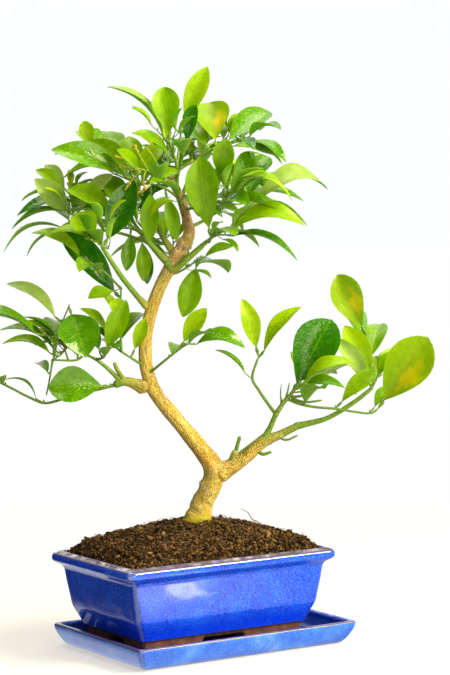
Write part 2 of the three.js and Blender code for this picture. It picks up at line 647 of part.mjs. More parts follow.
// Levels of the pot's inside, moved in by inset, from the floor up to the edge of the soil.
function potInside(inset, floor) {
  const rows = POT_PROFILE.filter(([z]) => z > floor + 1 && z < POT_TOP - 10);
  return [
    potLevel(floor, inset + 1.5, 0.86),
    ...rows.map(([z, share]) => potLevel(z, inset, share)),
    potLevel(SOIL_EDGE_Z, inset + 1.5, 0),
  ];
}

function potBody() {
  const upper = block(POT_PROFILE.map(([z, share]) => potLevel(z, 0, share)));
  const foot = block([potLevel(FOOT_Z, FOOT_INSET + 1.2, 1), potLevel(HEEL_Z + 1, FOOT_INSET, 1)]);
  const recess = block([potLevel(FOOT_Z - 1, FOOT_INSET + FOOT_WALL, 1), potLevel(HEEL_Z - 1, FOOT_INSET + FOOT_WALL, 1)]);
  const inside = block([...potInside(POT_WALL, POT_FLOOR_Z), potLevel(POT_TOP + 1, POT_WALL + 1.5, 0)]);
  const arch = ([low, high], long, turned) => {
    const shape = new THREE.Shape([
      new THREE.Vector2(-low / 2, FOOT_Z - 1),
      new THREE.Vector2(low / 2, FOOT_Z - 1),
      new THREE.Vector2(high / 2, FOOT_Z + FOOT_ARCH.high),
      new THREE.Vector2(-high / 2, FOOT_Z + FOOT_ARCH.high),
    ]);
    const cut = new THREE.ExtrudeGeometry(shape, { depth: long, bevelEnabled: false });
    cut.translate(0, 0, -long / 2).rotateX(Math.PI / 2);
    if (turned) cut.rotateZ(Math.PI / 2);
    cut.deleteAttribute("normal");
    cut.deleteAttribute("uv");
    return solid(mergeVertices(cut, 1e-4));
  };
  const drain = (x) => {
    const hole = block([[HEEL_Z - 3, 2 * DRAIN.radius, 2 * DRAIN.radius, DRAIN.radius - 0.01, x],
      [POT_FLOOR_Z + 1, 2 * DRAIN.radius, 2 * DRAIN.radius, DRAIN.radius - 0.01, x]]);
    return hole;
  };
  return upper
    .add(foot)
    .subtract(recess)
    .subtract(inside)
    .subtract(arch(FOOT_ARCH.long, POT_RIM[1], false))
    .subtract(arch(FOOT_ARCH.wide, POT_RIM[0], true))
    .subtract(drain(-DRAIN.apart / 2))
    .subtract(drain(DRAIN.apart / 2));
}

// Soil that fills the pot and is heaped towards the trunk's foot, with a lumpy top.
function soilBody() {
  const perCorner = 6;
  const [footX, footY] = [FOOT[0] - POT_AT[0], FOOT[1] - POT_AT[1]];
  const walls = potInside(POT_WALL + GAP, POT_FLOOR_Z + GAP);
  const edge = walls.at(-1);
  const toPeak = (from, share, to) => from + (to - from) * share;
  const heap = SOIL_SLOPE.map(([way, high]) => [
    toPeak(SOIL_EDGE_Z, high, SOIL_PEAK_Z), toPeak(edge[1], way, 2 * SOIL_PATCH), toPeak(edge[2], way, 2 * SOIL_PATCH),
    toPeak(edge[3], way, SOIL_PATCH - 0.01), footX * way, footY * way,
  ]);
  const levels = [...walls, ...heap];
  const firstLumpy = walls.length;
  const last = levels.length - 1;
  return body(4 * perCorner, last, (share, turn, reach) => {
    const level = Math.round(share * last);
    const [z, long, wide, corner, x = 0, y = 0] = levels[level];
    const point = roundedOutline(long / 2, wide / 2, corner, turn, perCorner).multiplyScalar(reach);
    const lumpy = level >= firstLumpy && level < last;
    const lump = lumpy ? SOIL_LUMP * Math.sin(5 * turn + 2.6 * level) * Math.cos(11 * turn + level) : 0;
    return point.add(new THREE.Vector3(x, y, z + lump));
  });
}

const bark = new THREE.MeshStandardMaterial({ color: 0xb98e45, roughness: 0.85, metalness: 0 });
const greenBark = new THREE.MeshStandardMaterial({ color: 0x7d9a35, roughness: 0.6, metalness: 0 });
const leaf = new THREE.MeshStandardMaterial({ color: 0x5f9a14, roughness: 0.35, metalness: 0 });
const glaze = new THREE.MeshStandardMaterial({ color: 0x1f49c8, roughness: 0.12, metalness: 0 });
const compost = new THREE.MeshStandardMaterial({ color: 0x4a3423, roughness: 0.95, metalness: 0 });

const bonsai = new THREE.Group();
bonsai.add(mesh("tray", trayBody(), glaze));

const pot = new THREE.Group();
pot.position.set(POT_AT[0], POT_AT[1], 0);
pot.add(mesh("pot", potBody(), glaze), mesh("soil", soilBody(), compost));
bonsai.add(pot);

const plant = new THREE.Group();
plant.position.set(...FOOT);
plant.rotation.z = PLANT_TURN * deg;
bonsai.add(plant);

const BARKED = ["trunk", "bough_right", "bough_low_left"];
const { limbs, masses } = growPlant();
const ground = new THREE.BoxGeometry(60, 60, 2 * TRUNK_SUNK + 4).translate(0, 0, -TRUNK_SUNK - 2);
ground.deleteAttribute("normal");
ground.deleteAttribute("uv");
const cutFlat = (shape) => shape.subtract(solid(mergeVertices(ground, 1e-4)));
const fat = (name) => limbBody(limbs[name], name === "trunk" ? 12 : 8, GAP + 0.1, name === "trunk" ? 0.05 : 0);
for (const [name, { on }] of Object.entries(LIMBS)) {
  const shape = limbBody(limbs[name], on ? 7 : 12, 0, on ? 0 : 0.05);
  const material = BARKED.includes(name) ? bark : greenBark;
  plant.add(mesh(name, on ? shape.subtract(fat(on)) : cutFlat(shape), material));
}
for (const [name, { on }] of Object.entries(MASSES)) {
  const { stems, blades } = masses[name];
  const pieces = [...stems.map((stem) => limbBody(stem, 3)), ...blades.map(leafBody)];
  const joined = pieces.reduce((whole, piece) => whole.add(piece));
  plant.add(mesh(name, joined.subtract(fat(on)).asOriginal().simplify(FINE), leaf));
}

export default bonsai;
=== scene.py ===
# %% [markdown]
# # A citrus bonsai in a blue glazed pot
#
# The frame is a packed set of plain solids: a drip tray, a pot, a heap of soil, a trunk, nine boughs
# and 23 masses of leaves. This lesson dresses it. It makes one kind of thing at a time, from whole
# arrays of points, and each mesh stands for the plain solids in the same place.

# %% Load the frame
import bpy
import numpy as np
from mathutils import Matrix


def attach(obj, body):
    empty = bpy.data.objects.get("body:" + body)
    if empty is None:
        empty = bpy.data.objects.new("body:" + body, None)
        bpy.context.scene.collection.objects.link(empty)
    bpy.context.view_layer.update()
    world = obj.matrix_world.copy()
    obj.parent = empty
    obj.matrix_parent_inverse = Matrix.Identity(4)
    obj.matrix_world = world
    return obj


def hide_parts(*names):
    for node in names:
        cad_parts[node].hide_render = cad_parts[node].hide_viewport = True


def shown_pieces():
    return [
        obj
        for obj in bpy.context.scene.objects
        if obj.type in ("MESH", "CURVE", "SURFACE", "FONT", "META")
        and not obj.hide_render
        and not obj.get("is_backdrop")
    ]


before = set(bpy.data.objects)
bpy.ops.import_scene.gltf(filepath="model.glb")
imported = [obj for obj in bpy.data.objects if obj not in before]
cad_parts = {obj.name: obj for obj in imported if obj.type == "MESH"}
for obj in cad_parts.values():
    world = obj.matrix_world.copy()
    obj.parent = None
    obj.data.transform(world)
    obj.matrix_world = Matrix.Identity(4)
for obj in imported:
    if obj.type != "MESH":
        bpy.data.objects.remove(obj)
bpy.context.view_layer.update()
print("solids:", len(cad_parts))

# %% [markdown]
# ## The plant's own frame
#
# The tree stands turned on the soil, so that its widest side faces the onlooker across a corner of
# the pot. Its limbs are given in a frame of their own, in millimetres from the middle of the flat
# cut under the trunk: across, behind and up.

# %% Turn the plant onto its foot
FOOT = np.array([-0.3, 7.0, 78.0])
PLANT_TURN = np.radians(-33.2)


def planted(points):
    """Plant millimetres to part millimetres: x' = x cos - y sin, y' = x sin + y cos, then moved to
    the foot."""
    x, y, z = np.moveaxis(np.asarray(points, float), -1, 0)
    cos, sin = np.cos(PLANT_TURN), np.sin(PLANT_TURN)
    return np.stack([x * cos - y * sin, x * sin + y * cos, z], -1) + FOOT


# %% [markdown]
# ## From arrays to meshes
#
# Nearly everything on this plant is a skin over rings of points: a leaf, a twig, the pot's wall.
# Blender can build such skins from curves with a bevel, but a curve gives every ring the same
# outline. Here the rings are arrays, so a ring can swell, fold or crack where it needs to.
#
# A part is modelled in millimetres and put into the mesh in metres. Faces must look outwards, so
# the volume of each skin is worked out, and a skin whose volume is negative is turned round. Each
# mesh then hides the solids that it stands for, and gets its finishes, with a finish number for its
# faces where it has more than one.

# %% Skins over rings of points
MM = 0.001
plant, wood = bpy.data.collections.new("plant"), bpy.data.collections.new("wood")


def skin(points, loop=False):
    """Faces over points (pieces, rings, around, 3): quads between neighbouring rings, and one face on
    each end, or with loop more quads that join the last ring to the first."""
    pieces, rings, around, _ = points.shape
    number = np.arange(pieces * rings * around).reshape(pieces, rings, around)
    here, ahead = (number, np.roll(number, -1, 1)) if loop else (number[:, :-1], number[:, 1:])
    quads = np.stack([here, np.roll(here, -1, 2), np.roll(ahead, -1, 2), ahead], -1)
    quads = quads.reshape(pieces, -1, 4)
    ends = np.stack([number[:, 0, ::-1], number[:, -1]], 1)
    local = (points - points.mean((1, 2), keepdims=True)).reshape(-1, 3)
    a, b, c, d = (local[quads[..., k]] for k in range(4))
    volume = ((a * np.cross(b, c)) + (a * np.cross(c, d))).sum((1, 2))
    if not loop:
        fan = local[ends]
        middle = fan.mean(2, keepdims=True)
        volume = volume + (middle * np.cross(fan, np.roll(fan, -1, 2))).sum((1, 2, 3))
    inside_out = volume < 0
    quads[inside_out] = quads[inside_out][..., ::-1]
    ends[inside_out] = ends[inside_out][..., ::-1]
    faces = [quads.reshape(-1, 4)]
    return faces if loop else faces + [ends.reshape(-1, around)]


def joined(skins, loop=False):
    """Points, faces and fields of several skins as one mesh. A field is a value that a finish can
    read at each point, spread out here over its skin's points; one with four axes holds vectors."""
    points, faces, fields, start = [], {}, {}, 0
    for at, own in skins:
        at = at if at.ndim == 4 else at[None]
        for group in skin(at, loop):
            faces.setdefault(group.shape[1], []).append(group + start)
        points.append(at.reshape(-1, 3))
        start += len(points[-1])
        for key, values in own.items():
            vectors = np.ndim(values) == 4
            spread = np.broadcast_to(values, at.shape if vectors else at.shape[:3])
            fields.setdefault(key, []).append(spread.reshape((-1, 3) if vectors else -1))
    return (np.concatenate(points), [np.concatenate(group) for group in faces.values()],
        {key: np.concatenate(values) for key, values in fields.items()})


def put_mesh(name, skins, finishes, solids, lit_with=None, loop=False, numbers=None, crease=None):
    """One smooth mesh from skins in millimetres, which stands for the named solids. numbers are
    finish numbers for the quads, and crease is the angle of sharp edges. A piece with a collection
    to be lit with is on the plant: it is turned and moved with it, and lit by one more lamp."""
    points, faces, fields = joined(skins, loop)
    points = planted(points) if lit_with else points
    sizes = np.concatenate([np.full(len(group), group.shape[1]) for group in faces])
    corners = np.concatenate([group.ravel() for group in faces]).astype(np.int32)
    mesh = bpy.data.meshes.new(name)
    mesh.vertices.add(len(points))
    mesh.vertices.foreach_set("co", (points * MM).astype(np.float32).ravel())
    mesh.loops.add(len(corners))
    mesh.loops.foreach_set("vertex_index", corners)
    mesh.polygons.add(len(sizes))
    mesh.polygons.foreach_set("loop_start", (np.cumsum(sizes) - sizes).astype(np.int32))
    mesh.polygons.foreach_set("use_smooth", np.ones(len(sizes), bool))
    for finish in finishes:
        mesh.materials.append(finish)
    if numbers is not None:
        rest = np.zeros(len(sizes) - len(numbers))
        mesh.polygons.foreach_set("material_index", np.concatenate([numbers, rest]).astype(np.int32))
    for field_name, values in fields.items():
        kind, key = ("FLOAT_VECTOR", "vector") if values.ndim > 1 else ("FLOAT", "value")
        held = mesh.attributes.new(field_name, kind, "POINT")
        held.data.foreach_set(key, values.ravel().astype(np.float32))
    mesh.update(calc_edges=True)
    if crease:
        mesh.set_sharp_from_angle(angle=np.radians(crease))
    made = bpy.data.objects.new(name, mesh)
    bpy.context.scene.collection.objects.link(made)
    if lit_with:
        lit_with.objects.link(made)
    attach(made, "root")
    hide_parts(*solids)
    print(name, "points", len(points), "faces", len(sizes))


# %% [markdown]
# ## Repeatable unevenness
#
# Bark, soil and leaves need unevenness that looks random and comes out the same on each run. Value
# noise does that: a number is hashed for each corner of a grid of cells, and the numbers in
# between are blended smoothly. Separate draws, such as a leaf's curl, come from one seeded source.

# %% Noise and draws
def noise(at, seed=0):
    """Value noise from -1 to 1 at points (..., 3): hashed corner values, each axis blended by
    3t^2 - 2t^3."""
    cell = np.floor(at).astype(np.int64)
    t = at - cell
    t = t * t * (3 - 2 * t)
    total = np.zeros(at.shape[:-1])
    for corner in np.ndindex(2, 2, 2):
        key = ((cell + np.array(corner)) * (73856093, 19349663, 83492791)).sum(-1) + seed * 9176
        key = (key ^ (key >> 13)) * 1274126177 % 4294967296
        value = ((key ^ (key >> 15)) % 65536) / 32767.5 - 1
        total += value * np.prod(np.where(corner, t, 1 - t), -1)
    return total


draws = np.random.default_rng(7)

# %% [markdown]
# ## Finishes
#
# A finish is Blender's Principled shader with nodes in front of it. Written out one by one, the
# nodes for a sum hide the sum. So a small class stands for what comes out of a node, and adding or
# multiplying two of them makes the Math node. Colours are picked as they look on a screen and
# turned into the linear values that the shader works with.

# %% Helpers for finishes
def colour(red, green, blue):
    """Linear colour from screen values 0 to 255, by the sRGB curve."""
    value = np.array([red, green, blue]) / 255
    linear = np.where(value <= 0.04045, value / 12.92, ((value + 0.055) / 1.055) ** 2.4)
    return (*linear, 1.0)


def join(value, socket):
    """Links a value to a socket, or writes a constant into it."""
    value = getattr(value, "socket", value)
    if isinstance(value, bpy.types.NodeSocket):
        socket.id_data.links.new(value, socket)
    else:
        socket.default_value = value


def node(tree, kind, settings=None, **inputs):
    """Adds a shader node. settings are its own options; inputs go into its sockets by name, or by
    number after an underscore."""
    made = tree.nodes.new("ShaderNode" + kind)
    for key, constant in (settings or {}).items():
        setattr(made, key, constant)
    for key, value in inputs.items():
        join(value, made.inputs[int(key[1:]) if key.startswith("_") else key.replace("_", " ")])
    return made


class Value:
    """A number, place or colour that a finish works out at each point. Sums written with it become
    Math nodes in its tree."""

    def __init__(self, socket):
        self.socket, self.tree = socket, socket.id_data

    def maths(self, what, first, second=0.0):
        return value_of(self.tree, "Math", {"operation": what}, _0=first, _1=second)

    def __add__(self, other):
        return self.maths("ADD", self, other)

    def __sub__(self, other):
        return self.maths("SUBTRACT", self, other)

    def __rsub__(self, other):
        return self.maths("SUBTRACT", other, self)

    def __mul__(self, other):
        return self.maths("MULTIPLY", self, other)

    def __truediv__(self, other):
        return self.maths("DIVIDE", self, other)

    def __abs__(self):
        return self.maths("ABSOLUTE", self)


def value_of(tree, kind, settings=None, output=0, **inputs):
    """What comes out of a new node."""
    return Value(node(tree, kind, settings, **inputs).outputs[output])


def clip(value):
    """The last sum again, kept from 0 to 1."""
    value.socket.node.use_clamp = True
    return value


def near_middle(value, sharpness):
    """1 where a value is 0.5, falling to 0 on both sides: 1 - sharpness |value - 0.5|."""
    return clip(1.0 - abs(value - 0.5) * sharpness)


def mix(share, first, second):
    """Two colours blended by a share."""
    return value_of(share.tree, "Mix", {"data_type": "RGBA"}, 2, _0=share, _6=first, _7=second)


def laid_over(under, *layers):
    """A colour with others laid over it in turn, each with its share. Tuples are screen colours."""
    for share, tint in layers:
        under = mix(share, under, colour(*tint) if isinstance(tint, tuple) else tint)
    return under


def ramp(value, *stops):
    """Colour for a value from 0 to 1, through stops of place and screen colour."""
    made = node(value.tree, "ValToRGB", _0=value)
    held = made.color_ramp.elements
    while len(held) < len(stops):
        held.new(0.5)
    for element, (place, tint) in zip(held, stops):
        element.position, element.color = place, colour(*tint)
    return Value(made.outputs["Color"])


def field(tree, name, output="Fac"):
    """A value that is kept at the points of the mesh."""
    return value_of(tree, "Attribute", {"attribute_name": name}, output)


def vector(what, place, output=0, **inputs):
    """A vector sum on a place."""
    return value_of(place.tree, "VectorMath", {"operation": what}, output, _0=place, **inputs)


def split(place):
    """The three parts of a vector."""
    return [Value(socket) for socket in node(place.tree, "SeparateXYZ", _0=place).outputs]


def place_in(tree, scale):
    """The point's place in the part, scaled so that one unit is 1 / scale metres."""
    return vector("SCALE", value_of(tree, "TexCoord", None, "Object"), Scale=scale)


def cloudy(where, scale, detail, roughness=0.5):
    """Noise from 0 to 1 with scale cells to the unit, in detail + 1 sizes."""
    return value_of(where.tree, "TexNoise", Vector=where, Scale=scale, Detail=detail, Roughness=roughness)


def fraction(value):
    """What a value has beyond its whole number."""
    return value.maths("FRACT", value)


def finish_of(name, roughness, scale=1000, **constants):
    """A new material; returns it with its shader, its node tree and the place in the part, in
    millimetres unless another scale is given."""
    made = bpy.data.materials.new(name)
    made.use_nodes = True
    shader = made.node_tree.nodes["Principled BSDF"]
    for key, value in dict(constants, Roughness=roughness).items():
        shader.inputs[key.replace("_", " ")].default_value = value
    return made, shader, made.node_tree, place_in(made.node_tree, scale)


def bump(shader, height, strength, distance):
    """Relief too fine for the mesh, given to the shader."""
    relief = value_of(shader.id_data, "Bump", Height=height, Strength=strength, Distance=distance)
    join(relief, shader.inputs["Normal"])


# %% [markdown]
# ## Limbs and masses of leaves
#
# These are the same named sizes that the solids were worked out from. A limb has way points and a
# thickness at each. A mass has stems, rows of leaves (stem, share along it, aim, rise, blade
# length, facing, and sometimes width over length and arch), more rows tried after all the others,
# seeded sprigs, and the space it keeps to. Each row also has a letter for its colour: b bright,
# f fresh, m middling, d deep, k dark, p pale and grey, y yellowing. A capital means a round end.

# %% Limbs
LIMBS = {
    "trunk": dict(path=[[-1.5, 0, -5], [0.5, 0, 1.5], [1.8, 0, 5], [4, 0, 12], [9, -1, 22],
        [10.5, -1, 32], [3, -1, 44], [-14, 1, 65], [-27, 3, 82], [-32, 3, 101], [-30.5, 2, 122],
        [-23, 0, 145], [-13, -2, 164], [-4, -1, 178], [-4.5, 0, 188], [-10, 0, 205], [-19, 0, 220]],
        thick=[19, 17, 14.8, 13.4, 13.2, 13.4, 10.6, 9.2, 8.6, 8.2, 8, 7.8, 8.4, 9.8, 8.4, 7, 5]),
    "bough_right": dict(on="trunk", path=[[10, -1, 28], [22, -2, 34], [31, -3, 40], [41, -4, 49],
        [52, -5, 54], [64, -6, 59.5], [81, -6, 64], [97, -5, 73], [109, -4, 82]],
        thick=[11, 9.6, 7.6, 7.4, 5.4, 4.2, 3.1, 2.8, 2.5]),
    "bough_right_inner": dict(on="bough_right", path=[[41, -4, 49], [46, -6, 59], [49.5, -8, 67],
        [54, -9, 74], [59, -10, 80]], thick=[3.6, 3.2, 3.2, 2.8, 2.4]),
    "bough_low_left": dict(on="trunk", path=[[-30, 2, 82], [-38, 0, 86], [-45, -2, 88], [-52, -3, 85.5]],
        thick=[7.4, 6.6, 5.6, 4.6]),
    "bough_low_left_upper": dict(on="bough_low_left", path=[[-46, -2, 87], [-51, -3, 92], [-56, -4, 97],
        [-62, -5, 102]], thick=[3, 2.6, 2.4, 2.2]),
    "bough_left": dict(on="trunk", path=[[-29, 2, 133], [-36, -4, 141], [-45, -11, 153], [-53, -17, 166],
        [-56, -19, 171]], thick=[4.4, 3.6, 3.2, 2.8, 2.4]),
    "bough_left_upper": dict(on="trunk", path=[[-15, -1, 161], [-22, -2, 167], [-28, -3, 174],
        [-33, -4, 180]], thick=[4.6, 4, 3.6, 3]),
    "bough_left_outer": dict(on="bough_left_upper", path=[[-28, -3, 174], [-36, 3, 177], [-52, 6, 181.5],
        [-72, 5, 183]], thick=[2.4, 2, 1.8, 1.6]),
    "bough_left_top": dict(on="trunk", path=[[-12, -1, 166], [-19, 2, 176], [-25, 5, 188], [-31, 6, 198],
        [-34, 5, 205]], thick=[4.2, 3.8, 3.4, 3, 2.6]),
    "bough_crown_right": dict(on="trunk", path=[[-15, -1, 157], [-10, -6, 160], [-3, -8, 166],
        [6, -9, 174]], thick=[4.6, 4.2, 3.8, 3.2]),
}

